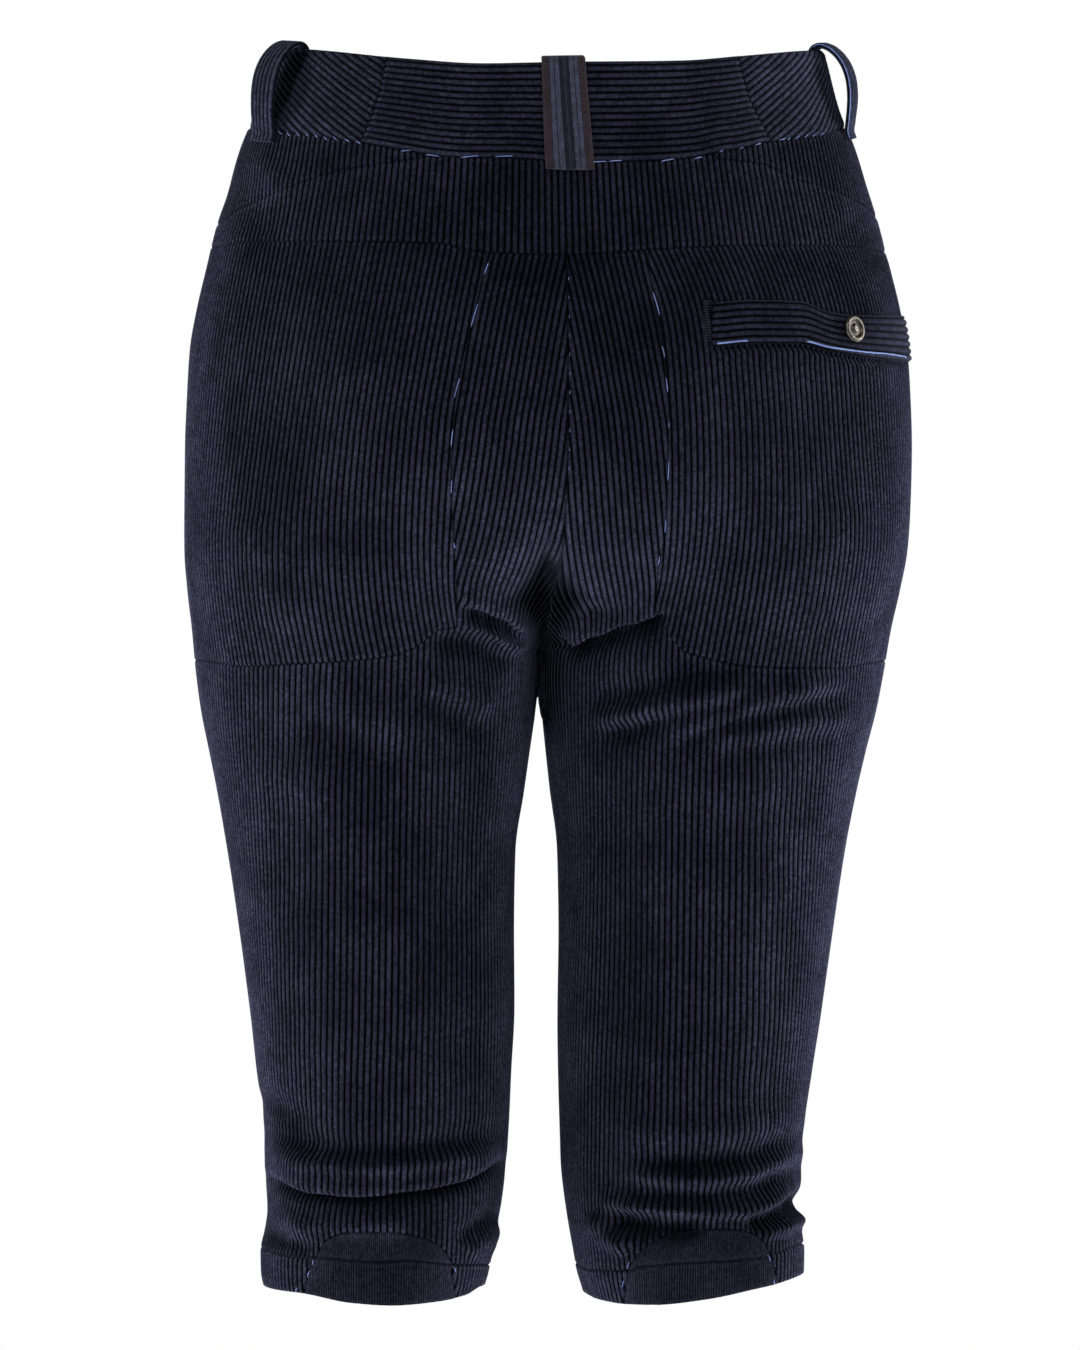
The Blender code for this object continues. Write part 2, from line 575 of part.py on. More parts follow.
# a belt loop's inner face: stand-off from the cloth and height over the waist seam, mm on a band 45 high
LoopRow = namedtuple("LoopRow", "off high")
PROUD_LOOP = [LoopRow(1.2, -5), LoopRow(1.8, 0), LoopRow(5.0, 6), LoopRow(8.0, 13), LoopRow(9.6, 21),
              LoopRow(9.6, 29), LoopRow(8.2, 36), LoopRow(5.6, 41.5), LoopRow(2.4, 45.8), LoopRow(-1.6, 46.8)]
FLAT_LOOP = [LoopRow(1.2, -5), LoopRow(1.2, 0), LoopRow(1.7, 10), LoopRow(2.2, 20), LoopRow(2.2, 30),
             LoopRow(1.8, 40), LoopRow(1.2, 45.6), LoopRow(-1.6, 46.8)]


def find_levels(t, line):
    """The levels at ring places where the cloth crosses a line drawn across the elevation."""
    t = np.asarray(t, float)
    side, q = ring_place(t)
    level = np.full(t.shape, -20.0)
    for _ in range(8):
        ex, ez = elevation(bare(side, q, level))
        level = level + (line(ex) - ez)
    return level


def belt_loop(name, t0, rows, material, lean=0.0, wide=LOOP_WIDTH):
    p0, _ = cloth(np.array([t0 - 0.01, t0 + 0.01]), np.array([0.0, 0.0]))
    per = np.linalg.norm(p0[1] - p0[0]) / 0.02      # mm of cloth for each unit of ring place
    made = []
    path = [np.array([r.off, r.high]) for r in rows]
    for i, r in enumerate(rows):
        a = path[max(i - 1, 0)]
        b = path[min(i + 1, len(rows) - 1)]
        d = (b - a) / np.linalg.norm(b - a)
        out = np.array([d[1], -d[0]])             # outward across the path, in (off, high)
        t = t0 + (np.linspace(-1, 1, 3) * wide / 2 + lean * (r.high / 45.0)) / per
        low, top = find_levels(t, waist_line), find_levels(t, top_line)
        level = low + (top - low) * min(max(r.high, 0), 45) / 45 + min(r.high, 0) + max(r.high - 45, 0)
        p, n = cloth(t, level)
        q, _ = cloth(t, level + 1.0)
        rise = (q - p) / np.linalg.norm(q - p, axis=-1, keepdims=True)
        made.append(((p + n * r.off) * MM, n * out[0] + rise * out[1]))
    return strip(name, made, LOOP_WALL, material)


belt_loop("loop_back", -0.008, FLAT_LOOP, WEB, lean=2.0)
belt_loop("loop_side_l", 0.79, PROUD_LOOP, CORD)
belt_loop("loop_side_r", -0.95, PROUD_LOOP, CORD)
belt_loop("loop_front_l", 1.60, FLAT_LOOP, CORD)
belt_loop("loop_front_r", -1.60, FLAT_LOOP, CORD)

# piping: a thin cord along the flap's lower edge
route = []
reach = np.linspace(85, 176.0, 24)
for t, level in zip(*find_places(-1, reach, smooth_line(PIPING)(reach))):
    p, n = facet_point(float(t), float(level))
    route.append(Vector(p) + Vector(n) * (2.3 + 0.3 + 0.95) * MM)
curve = bpy.data.curves.new("pocket_piping", "CURVE")
curve.dimensions = "3D"
line = curve.splines.new("POLY")
line.points.add(len(route) - 1)
for point, v in zip(line.points, route):
    point.co = (*v, 1)
curve.bevel_depth = 0.6 * MM
curve.bevel_resolution = 1
curve.use_fill_caps = True
piping = bpy.data.objects.new("pocket_piping", curve)
bpy.context.scene.collection.objects.link(piping)
curve.materials.append(BLUE)


def turned(name, profile, sides, material, place, look):
    """A turned piece from (radius, height) rows, its flat back at a place, looking along a normal."""
    verts, faces = [], []
    rings = []
    for r, h in profile:
        if r <= 0:
            rings.append([len(verts)])
            verts.append((0, 0, h))
        else:
            rings.append(list(range(len(verts), len(verts) + sides)))
            verts += [(r * math.cos(2 * math.pi * k / sides), r * math.sin(2 * math.pi * k / sides), h)
                      for k in range(sides)]
    for a, b in zip(rings, rings[1:]):
        for k in range(sides):
            m = (k + 1) % sides
            if len(a) == 1:
                faces.append((a[0], b[m], b[k]))
            elif len(b) == 1:
                faces.append((a[k], a[m], b[0]))
            else:
                faces.append((a[k], a[m], b[m], b[k]))
    mesh = bpy.data.meshes.new(name)
    mesh.from_pydata([tuple(c * MM for c in v) for v in verts], [], faces)
    mesh.validate()
    mesh.materials.append(material)
    ob = bpy.data.objects.new(name, mesh)
    bpy.context.scene.collection.objects.link(ob)
    z = Vector(look).normalized()
    x = Vector((0, 0, 1)).cross(z).normalized()
    y = z.cross(x)
    ob.matrix_world = Matrix.Translation(Vector(place)) @ Matrix((x, y, z)).transposed().to_4x4()
    mesh.shade_smooth()
    mesh.set_sharp_from_angle(angle=math.radians(40))
    return ob


R = BUTTON_D / MM / 2
BUTTON = [(0, 0), (R * .80, 0), (R * .97, .5), (R, 1.1), (R * .95, 1.7), (R * .82, 2.1), (R * .62, 2.0),
          (R * .50, 1.5), (R * .40, 1.35), (R * .30, 1.7), (R * .14, 1.9), (0, 1.9)]
t, level = find_places(-1, [150.0], [-110.0])
p, n = facet_point(float(t[0]), float(level[0]))
turned("pocket_button", BUTTON, 24, METAL, Vector(p) + Vector(n) * 4.0 * MM, n)
R = WAIST_BUTTON_D / MM / 2
BUTTON = [(0, 0), (R * .80, 0), (R * .97, .5), (R, 1.2), (R * .95, 1.9), (R * .82, 2.3), (R * .62, 2.2),
          (R * .50, 1.7), (R * .40, 1.5), (R * .30, 1.9), (R * .14, 2.1), (0, 2.1)]
p, n = cloth(np.array(1.955), np.array(-8.0))
turned("waist_button", BUTTON, 24, METAL, Vector(p) * MM + Vector(n) * (LAP + 0.9 * MM), n)
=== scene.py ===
"""Corduroy knee breeches: the finished looks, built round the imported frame.

Metres, +Z up, back of the garment on +Y, the wearer's left on +X.  The cloth's
tables are in millimetres: sections, seam lines on the back elevation (the front
carries the same lines, mirrored) and folds.  Every cut piece is a thin shell
whose grid runs along its wales, so each wale is real geometry, and the shell is
cut where its seams run.
"""

import math
from collections import namedtuple

import bpy
import numpy as np
from mathutils import Matrix, Vector


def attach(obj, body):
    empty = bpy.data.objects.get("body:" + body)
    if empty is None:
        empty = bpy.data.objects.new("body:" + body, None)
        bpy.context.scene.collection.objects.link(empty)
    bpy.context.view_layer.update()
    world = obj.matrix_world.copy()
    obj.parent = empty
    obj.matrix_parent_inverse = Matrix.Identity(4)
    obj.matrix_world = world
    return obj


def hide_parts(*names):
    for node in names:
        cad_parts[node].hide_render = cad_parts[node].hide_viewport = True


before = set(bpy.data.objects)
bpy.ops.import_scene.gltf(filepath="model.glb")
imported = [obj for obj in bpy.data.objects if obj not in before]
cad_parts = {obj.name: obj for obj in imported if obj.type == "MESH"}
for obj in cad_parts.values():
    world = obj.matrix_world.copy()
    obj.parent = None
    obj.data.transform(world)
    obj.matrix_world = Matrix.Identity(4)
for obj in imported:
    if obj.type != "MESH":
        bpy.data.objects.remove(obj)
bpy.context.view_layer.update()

MM = 0.001
rng = np.random.default_rng(7)

# ---------------------------------------------------------------- camera
VIEW_FAR = 3500.0
VIEW_X, VIEW_Z = 4.0, -282.5
VIEW_TURN = math.radians(4.0)
eye = Vector((math.sin(VIEW_TURN), math.cos(VIEW_TURN), 0.0))
aim = Vector((math.cos(VIEW_TURN) * VIEW_X * MM, -math.sin(VIEW_TURN) * VIEW_X * MM, VIEW_Z * MM))
camera = bpy.data.objects.new("camera", bpy.data.cameras.new("camera"))
bpy.context.scene.collection.objects.link(camera)
camera.data.sensor_fit = "VERTICAL"
camera.data.sensor_height = 24.0
camera.data.lens = 24.0 * VIEW_FAR / 675.0
camera.data.clip_end = 50.0
camera.location = aim + eye * (VIEW_FAR * MM)
camera.rotation_euler = (-eye).to_track_quat("-Z", "Y").to_euler()
bpy.context.scene.camera = camera
bpy.context.scene.view_settings.view_transform = "Standard"

# ---------------------------------------------------------------- sizes
PITCH = 3.175            # mm from wale to wale
RIB = 1.0               # mm, height of a wale
WALL = 2.0
EDGE = 0.02              # mm kept back from each seam line
LAP = 2.4
TRUNK_SQUARE, LEG_SQUARE = 2.2, 2.15
CROTCH_TOP, CROTCH = -160.0, -270.0
FORK_FROM, FORK_TO = -155.0, -305.0
SIDE_SEAM = 1.08
GRAIN = 95.0             # mm from the centre to each leg's straight grain line

# level of the section at the side; half width outside; half width inside (leg ring);
# depth at the back and at the front; sway of the centre line to the wearer's left
Section = namedtuple("Section", "level outer inner back front sway")
SECTIONS = [
    Section(50, 132.0, 0.15, 92.0, -96.0, 0.0),
    Section(25, 139.0, 0.15, 98.0, -100.0, 0.0),
    Section(0, 145.5, 0.15, 102.0, -104.0, 0.0),
    Section(-20, 153.5, 0.15, 107.0, -108.0, 0.0),
    Section(-40, 159.5, 0.15, 113.0, -111.0, 0.0),
    Section(-60, 165.7, 0.15, 119.0, -113.0, 0.0),
    Section(-80, 170.5, 0.15, 125.0, -114.0, 0.0),
    Section(-100, 175.2, 0.15, 130.0, -115.0, 0.0),
    Section(-120, 178.7, 0.15, 134.0, -115.0, 0.0),
    Section(-140, 180.0, 0.15, 136.0, -115.0, 0.0),
    Section(-170, 181.0, 0.15, 137.0, -114.0, 0.2),
    Section(-200, 180.7, 0.15, 134.0, -112.0, 0.8),
    Section(-220, 180.0, 0.15, 129.0, -110.0, 1.5),
    Section(-240, 177.5, 0.15, 120.0, -108.0, 2.5),
    Section(-260, 174.2, 0.15, 110.0, -106.0, 3.4),
    Section(-280, 171.7, 0.3, 102.0, -104.0, 4.0),
    Section(-300, 168.5, 2.0, 97.0, -102.0, 4.5),
    Section(-320, 164.0, 4.5, 93.0, -100.0, 5.0),
    Section(-340, 159.7, 7.0, 90.0, -98.0, 5.3),
    Section(-370, 154.2, 11.0, 85.0, -94.0, 5.6),
    Section(-410, 148.2, 11.7, 79.0, -88.0, 5.6),
    Section(-450, 142.7, 11.3, 74.0, -82.0, 5.8),
    Section(-480, 138.7, 12.2, 71.0, -78.0, 6.5),
    Section(-510, 134.7, 13.3, 69.0, -75.0, 6.8),
    Section(-530, 133.7, 14.5, 68.0, -73.0, 7.3),
    Section(-550, 132.5, 17.0, 67.0, -70.0, 7.4),
    Section(-570, 135.7, 20.7, 67.5, -69.0, 7.7),
    Section(-580, 135.5, 22.5, 67.0, -68.0, 7.7),
    Section(-592, 133.0, 26.0, 66.0, -67.0, 7.7),
    Section(-612, 130.0, 30.0, 65.0, -66.0, 7.7),
]

# ---------------------------------------------------------------- seam lines, mm
# across: height of the line at a distance from the centre line, left side +
WAIST_SEAM = [(-150, -8), (-146, -9), (-137, -12), (-118, -14), (-105, -16.5), (-97, -18.5),
              (-87, -20), (-75, -23), (-60, -24.5), (-29, -25.5), (-11, -25.5), (22, -24),
              (40, -24), (55, -23), (71, -20.5), (95, -16.5), (120, -13), (133, -11.5), (150, -10)]
TOP_EDGE = [(-150, 31.5), (-131, 31), (-102, 28.5), (-67, 25.5), (-8, 24.5), (34, 23.5),
            (69, 25.5), (119, 30), (150, 31.5)]
YOKE_SEAM = [(-175, -71), (-170, -70.5), (-147, -67), (-102, -67), (-49, -69.5), (-10, -72),
             (30, -71), (44, -69), (56, -66.5), (94, -66), (151, -66.5), (164, -69), (175, -70)]
# the rest is drawn for each side; distances are outwards from the centre line
HIP_SEAM = {+1: [(0, 10), (40, -12), (59, -23), (76, -26), (105, -31), (124, -37), (145, -46),
                 (154, -50.5), (164, -57.5), (172, -64)],
            -1: [(0, 10), (60, -10), (88, -24), (98, -25), (111, -27.5), (123, -33.5), (140, -38),
                 (153, -44), (162, -49.5), (166, -55), (172, -62)]}
SEAT_BOTTOM = {+1: [(40, -259), (46, -259), (54, -260), (58, -262.5), (65, -268), (76, -272.5),
                    (94, -275), (124, -277), (152, -278), (164, -276.5), (176, -275)],
               -1: [(40, -252), (56, -255.5), (62, -264.5), (68, -270.5), (81, -274.5), (99, -278),
                    (125, -279), (147, -279), (162, -276.5), (176, -274.5)]}
CUFF_SEAM = {+1: [(10, -575), (20, -576), (32, -577), (47, -577), (69, -575), (87, -575.5),
                  (111, -573.5), (118, -573), (130, -572), (141, -569), (152, -566)],
             -1: [(8, -575), (14, -577), (21, -580), (40, -580.5), (47, -578.5), (72, -577),
                  (108, -574.5), (111, -573.5), (128, -567), (140, -564)]}
GUSSET_ARCH = {+1: [(40, -590), (49, -574), (53, -568.5), (63, -563.5), (81, -561), (99, -561),
                    (109, -563.5), (115, -571), (122, -588)],
               -1: [(33, -592), (43, -575), (52, -566.5), (65, -561.5), (85, -560), (100, -561.5),
                    (108, -566.5), (111.5, -573), (118, -590)]}
HEM = {+1: [(10, -585), (32, -588), (40, -592.5), (57, -596), (77, -597.5), (99, -596),
            (121, -591.5), (138, -589), (150, -584)],
       -1: [(8, -588), (15, -590.5), (24, -595), (38, -597.5), (53, -598), (79, -595.5),
            (104, -590.5), (115, -588), (124, -585), (140, -577)]}
FLY_CURVE = [(0, -152), (12, -149), (22, -141), (30, -127), (36, -104), (45, 20)]
# down: distance from the centre line at a height
MITRE = {+1: [(45, 77), (24, 81.5), (10, 84.5), (-10, 91.5), (-20, 96.5), (-30, 101)],
         -1: [(45, 93), (26, 96.5), (10, 100.5), (-12, 111), (-20, 115), (-30, 119)]}
SEAT_INNER = {+1: [(-60, 26.5), (-72, 29), (-82, 32), (-102, 37), (-139, 45.5), (-164, 48), (-188, 48.5),
                   (-218, 47), (-245, 45.5), (-300, 45.5)],
              -1: [(-60, 47.5), (-70, 49), (-90, 52.5), (-123, 58), (-155, 60.5), (-185, 60),
                   (-211, 58.5), (-234, 55), (-250, 54), (-256, 56.5), (-300, 57)]}
INSERT_IN = {+1: [(-560, 49), (-575, 48.5), (-592, 46), (-610, 44)],
             -1: [(-560, 42), (-574, 40.5), (-597, 37.5), (-610, 36)]}
INSERT_OUT = {+1: [(-560, 117), (-575, 118.5), (-592, 122), (-610, 124)],
              -1: [(-560, 111), (-574, 112), (-588, 116), (-610, 120)]}
# the pocket flap on the right seat panel, height of its edges at a distance outwards
FLAP_TOP = [(75, -97), (81, -96.5), (102, -95), (125, -95.5), (140, -101), (155, -102.5), (180, -102.5), (200, -102.5)]
FLAP_LOW = [(75, -118), (83, -118), (102, -116.5), (125, -116.5), (140, -120), (156, -123),
            (170, -124.5), (180, -125.5), (200, -125.5)]
FLAP_IN, FLAP_OUT = 81.5, -0.965   # its inner end outwards from the middle, its outer end round the ring
PIPING = [(84, -116.3), (102, -114.7), (125, -114.7), (140, -118), (156, -120.2), (170, -121.4), (177, -122.6)]

def smooth_line(rows, key=0, value=1):
    """A curve through a table's rows that never overshoots them."""
    rows = sorted((r[key], r[value]) for r in rows)
    xs, ys = np.array(rows, float).T
    h = np.diff(xs)
    d = np.diff(ys) / h
    m = np.zeros(len(xs))
    m[0], m[-1] = d[0], d[-1]
    for i in range(1, len(xs) - 1):
        if d[i - 1] * d[i] > 0:
            a, b = 2 * h[i] + h[i - 1], h[i] + 2 * h[i - 1]
            m[i] = (a + b) / (a / d[i - 1] + b / d[i])

    def line(x):
        x = np.clip(x, xs[0], xs[-1])
        i = np.clip(np.searchsorted(xs, x) - 1, 0, len(xs) - 2)
        t = (x - xs[i]) / h[i]
        return ((1 + 2 * t) * (1 - t) ** 2 * ys[i] + t * (1 - t) ** 2 * h[i] * m[i]
                + t * t * (3 - 2 * t) * ys[i + 1] + t * t * (t - 1) * h[i] * m[i + 1])

    return line


def step(x, a, b):
    """0 at a and 1 at b, smooth between."""
    u = np.clip((x - a) / (b - a), 0, 1)
    return u * u * (3 - 2 * u)


def power(v, n):
    return np.sign(v) * np.abs(v) ** (2.0 / n)


column = {f: smooth_line(SECTIONS, 0, i) for i, f in enumerate(Section._fields) if i}
waist_line, top_line, yoke_line = map(smooth_line, (WAIST_SEAM, TOP_EDGE, YOKE_SEAM))
by_side = {name: {s: smooth_line(rows[s]) for s in (1, -1)} for name, rows in dict(
    hip=HIP_SEAM, bottom=SEAT_BOTTOM, cuff=CUFF_SEAM, arch=GUSSET_ARCH, hem=HEM, mitre=MITRE,
    inner=SEAT_INNER, insert_in=INSERT_IN, insert_out=INSERT_OUT).items()}
fly_line, flap_top, flap_low = map(smooth_line, (FLY_CURVE, FLAP_TOP, FLAP_LOW))


def sided(name, side, x):
    return np.where(side > 0, by_side[name][1](x), by_side[name][-1](x))


def ring_place(t):
    """Ring place wrapped to -2..2: 0 centre back, +-1 the sides, +-2 centre front."""
    t = np.asarray(t, float)
    t = np.where(np.abs(t) > 2, (t + 2) % 4 - 2, t)
    return np.where(t >= 0, 1.0, -1.0), np.abs(t) - 1


def bare(side, q, level):
    """The cloth's outer face without folds, mm: q is -1 at the back, 0 at the side, 1 at the front."""
    xo, xi, yb, yf, sway = (column[f](level) for f in ("outer", "inner", "back", "front", "sway"))
    # trunk ring
    a = q * math.pi / 2
    mid = (yb + yf) / 2 * 0.6
    depth = np.where(q < 0, yb - mid, mid - yf)
    tx = xo * power(np.cos(a), TRUNK_SQUARE)
    ty = mid - depth * power(np.sin(a), TRUNK_SQUARE)
    # leg ring
    b = q * math.pi
    lx = (xo + xi) / 2 + (xo - xi) / 2 * power(np.cos(b), LEG_SQUARE)
    ly = (yb + yf) / 2 - (yb - yf) / 2 * power(np.sin(b), LEG_SQUARE)
    # the centre seams turn under to the fork as a quarter ellipse
    turn = np.clip((CROTCH_TOP - level) / (CROTCH_TOP - CROTCH), 0, 1) * math.pi / 2
    seam_fork = 1 - np.cos(turn)
    seam_z = np.where(level > CROTCH, CROTCH_TOP - (CROTCH_TOP - CROTCH) * np.sin(turn), level)
    seam_z = np.where(level > CROTCH_TOP, level, seam_z)
    near = step(np.abs(q), 0.55, 1.0)
    fork = (1 - near) * step(level, FORK_FROM, FORK_TO) + near * seam_fork
    x = (1 - fork) * tx + fork * lx
    y = (1 - fork) * ty + fork * ly
    z = level + near * (seam_z - level)
    return np.stack([side * x + sway, y, z], -1)


def elevation(p):
    """Where a point is drawn on the back elevation (the front is drawn as its mirror), mm."""
    y = np.abs(p[..., 1])
    k = 1 / (1 - y / VIEW_FAR)
    x = p[..., 0] * math.cos(VIEW_TURN) - y * math.sin(VIEW_TURN)
    return VIEW_X + (x - VIEW_X) * k, VIEW_Z + (p[..., 2] - VIEW_Z) * k


def along(line, ax, ez):
    """Distance from a fold's line, and the place along it from 0 to 1."""
    pts = np.array(line, float)
    legs = np.linalg.norm(np.diff(pts, axis=0), axis=1)
    far = np.full(ax.shape, 1e9)
    place = np.zeros(ax.shape)
    run = 0.0
    for i, leg in enumerate(legs):
        dx, dz = (pts[i + 1] - pts[i]) / leg
        s = (ax - pts[i, 0]) * dx + (ez - pts[i, 1]) * dz
        s = np.clip(s, 0, leg)
        d = np.hypot(ax - pts[i, 0] - s * dx, ez - pts[i, 1] - s * dz)
        place = np.where(d < far, (run + s) / legs.sum(), place)
        far = np.minimum(far, d)
        run += leg
    return far, place


# ---------------------------------------------------------------- folds
# side +1 left, -1 right; face it lies on; mm it rises; how far it reaches above and below its
# line; mm its crest hangs down over what is under it; its line on the elevation, outward x and z
Fold = namedtuple("Fold", "side face rise up down hang line")
SOFT = [
    # left knee, back
    Fold(+1, "back", -2.6, 7.0, 5.0, 0, [(143, -507), (125, -516), (95, -521), (61, -520), (36, -515), (18, -509)]),
    Fold(+1, "back", 3.2, 6.0, 6.0, 0, [(141, -514), (129, -523), (118, -526), (104, -527.5), (78, -527), (61, -524.5), (36, -520), (20, -514)]),
    Fold(+1, "back", -1.6, 5.0, 5.0, 0, [(128, -530), (104, -534), (78, -535), (56, -532), (40, -527)]),
    Fold(+1, "back", 2.2, 7.0, 6.0, 0, [(140, -552), (120, -558), (100, -557), (80, -556), (62, -558)]),
    Fold(+1, "back", -1.8, 5.0, 5.0, 0, [(143, -560), (128, -566), (117, -570)]),
    Fold(+1, "back", -1.8, 5.0, 4.0, 0, [(22, -549), (34, -557), (46, -566)]),
    Fold(+1, "back", 2.0, 5.0, 6.0, 0, [(20, -556), (32, -566), (42, -573)]),
    Fold(+1, "back", -1.6, 6.0, 6.0, 0, [(148, -492), (132, -500), (118, -508)]),
    # right knee, back
    Fold(-1, "back", 1.8, 8.0, 8.0, 0, [(30, -512), (60, -511), (90, -511), (110, -508), (128, -500)]),
    Fold(-1, "back", -2.6, 6.0, 5.0, 0, [(40, -524), (60, -526), (86, -527), (104, -523), (130, -512)]),
    Fold(-1, "back", 3.0, 5.5, 5.0, 0, [(36, -531), (56, -534), (80, -535), (100, -533), (116, -526), (132, -517)]),
    Fold(-1, "back", -2.0, 5.0, 5.0, 0, [(34, -540), (56, -543), (80, -543), (100, -540), (118, -533), (130, -526)]),
    Fold(-1, "back", 3.6, 5.0, 3.5, .8, [(22, -546), (36, -546), (56, -548.5), (80, -551), (98, -550.5), (112, -545), (128, -536)]),
    Fold(-1, "back", -3.6, 4.0, 6.0, 0, [(30, -553), (44, -557), (62, -559), (80, -557.5)]),
    Fold(-1, "back", -3.4, 4.0, 4.0, 0, [(98, -558), (110, -555), (122, -549), (131, -541)]),
    Fold(-1, "back", 3.0, 4.0, 4.5, .8, [(104, -563), (116, -559), (128, -553), (134, -548)]),
    Fold(-1, "back", 2.4, 4.0, 5.0, 0, [(20, -552), (30, -563), (41, -571)]),
    Fold(-1, "back", 1.8, 5.0, 5.0, 0, [(34, -562), (44, -568)]),
    # thighs, back
    Fold(-1, "back", -2.2, 6.0, 6.0, 0, [(18, -297), (40, -292), (64, -284), (92, -278)]),
    Fold(-1, "back", 3.4, 7.0, 5.0, .8, [(20, -307), (38, -302), (62, -295.5), (86, -290.5), (106, -285)]),
    Fold(-1, "back", -2.4, 6.0, 6.0, 0, [(24, -315), (50, -308), (80, -300), (104, -292)]),
    Fold(-1, "back", 2.6, 7.0, 6.0, .6, [(47, -314.5), (77, -303), (111, -294.5), (136, -286.5), (155, -283)]),
    Fold(-1, "back", -1.8, 6.0, 6.0, 0, [(60, -317), (90, -308), (124, -299), (150, -292)]),
    Fold(-1, "back", 1.9, 6.0, 7.0, 0, [(72, -314.5), (111, -309.5), (142, -304.5), (159, -299.5)]),
    Fold(-1, "back", -1.2, 7.0, 7.0, 0, [(76, -323), (112, -318), (146, -312)]),
    Fold(+1, "back", 1.6, 8.0, 8.0, 0, [(63, -283), (40, -293), (26, -301)]),
    Fold(+1, "back", -1.3, 7.0, 7.0, 0, [(70, -292), (46, -303), (28, -312)]),
    Fold(+1, "back", 1.2, 9.0, 9.0, 0, [(120, -290), (90, -300), (60, -316)]),
    Fold(+1, "back", -1.2, 9.0, 9.0, 0, [(128, -306), (96, -318), (66, -334)]),
    Fold(+1, "back", 1.0, 10.0, 10.0, 0, [(150, -330), (120, -338), (92, -350)]),
    Fold(-1, "back", 1.0, 10.0, 10.0, 0, [(40, -352), (80, -345), (130, -336)]),
    # long soft waves down the legs and over the seat
    Fold(+1, "back", 1.1, 16.0, 16.0, 0, [(128, -380), (122, -430), (114, -490)]),
    Fold(+1, "back", -1.0, 14.0, 14.0, 0, [(52, -370), (50, -430), (48, -490)]),
    Fold(-1, "back", 1.1, 15.0, 15.0, 0, [(112, -370), (108, -430), (100, -490)]),
    Fold(-1, "back", -1.0, 14.0, 14.0, 0, [(44, -380), (42, -440), (44, -500)]),
    Fold(+1, "back", 1.0, 13.0, 13.0, 0, [(150, -200), (140, -235), (126, -262)]),
    Fold(-1, "back", 1.0, 13.0, 13.0, 0, [(150, -190), (142, -230), (130, -258)]),
    Fold(+1, "back", -.9, 10.0, 10.0, 0, [(165, -36), (150, -52), (136, -66)]),
    Fold(+1, "back", 1.0, 7.0, 7.0, 0, [(148, -22), (136, -34), (122, -44)]),
    Fold(-1, "back", -.9, 9.0, 9.0, 0, [(166, -80), (156, -64), (146, -52)]),
    # crotch, back
    Fold(+1, "back", 3.6, 6.0, 4.0, 1.2, [(47, -240.5), (36, -244.5), (26, -248.5), (16, -253.5), (8, -261.5)]),
    Fold(+1, "back", -4.6, 4.0, 6.0, 0, [(42, -248), (32, -252), (22, -257), (12, -265)]),
    Fold(+1, "back", 4.2, 5.0, 4.0, 1.2, [(46, -255), (36, -256.5), (26, -260.5), (17, -265.5), (10, -271.5)]),
    Fold(+1, "back", -2.2, 4.0, 7.0, 0, [(60, -265), (42, -266), (30, -270), (18, -278)]),
    Fold(-1, "back", -3.6, 5.0, 5.0, 0, [(14, -252), (28, -253), (44, -251), (54, -248)]),
    Fold(-1, "back", 1.8, 4.0, 4.0, 0, [(20, -258), (34, -257), (50, -253)]),
    # behind the front knees and across the front
    Fold(+1, "front", -2.0, 6.0, 6.0, 0, [(140, -524), (110, -516), (80, -512), (50, -516), (25, -522)]),
    Fold(+1, "front", 3.6, 6.0, 4.0, .8, [(140, -538), (110, -530), (80, -527), (50, -531), (25, -539)]),
    Fold(+1, "front", 2.0, 6.0, 6.0, 0, [(138, -560), (112, -556), (90, -558)]),
    Fold(-1, "front", -2.0, 6.0, 6.0, 0, [(22, -520), (50, -513), (80, -511), (110, -514), (138, -522)]),
    Fold(-1, "front", 3.4, 6.0, 4.0, .8, [(22, -536), (50, -528), (80, -526), (110, -530), (138, -537)]),
    Fold(-1, "front", 2.0, 6.0, 6.0, 0, [(36, -558), (62, -554), (90, -558)]),
    Fold(+1, "front", 2.2, 8.0, 6.0, 0, [(16, -236), (42, -226), (78, -212), (112, -203)]),
    Fold(+1, "front", -2.6, 8.0, 8.0, 0, [(14, -246), (40, -236), (75, -222), (110, -212)]),
    Fold(+1, "front", 1.6, 7.0, 7.0, 0, [(18, -262), (46, -252), (80, -240)]),
    Fold(-1, "front", 2.2, 8.0, 6.0, 0, [(16, -240), (42, -230), (78, -218), (112, -210)]),
    Fold(-1, "front", -2.6, 8.0, 8.0, 0, [(14, -250), (42, -240), (78, -228), (112, -220)]),
    Fold(-1, "front", 1.4, 7.0, 7.0, 0, [(18, -266), (46, -257), (80, -246)]),
    Fold(+1, "front", 1.2, 15.0, 15.0, 0, [(104, -330), (100, -400), (96, -480)]),
    Fold(-1, "front", 1.2, 15.0, 15.0, 0, [(100, -330), (96, -400), (92, -480)]),
    Fold(+1, "front", 1.2, 10.0, 10.0, 0, [(30, -120), (60, -128), (96, -130)]),
    Fold(-1, "front", -1.0, 10.0, 10.0, 0, [(44, -140), (74, -150), (110, -152)]),
    Fold(+1, "front", -1.2, 9.0, 9.0, 0, [(120, -60), (136, -90), (146, -130)]),
    Fold(-1, "front", -1.2, 9.0, 9.0, 0, [(120, -58), (138, -90), (148, -132)]),
]
FOLD = 1.35
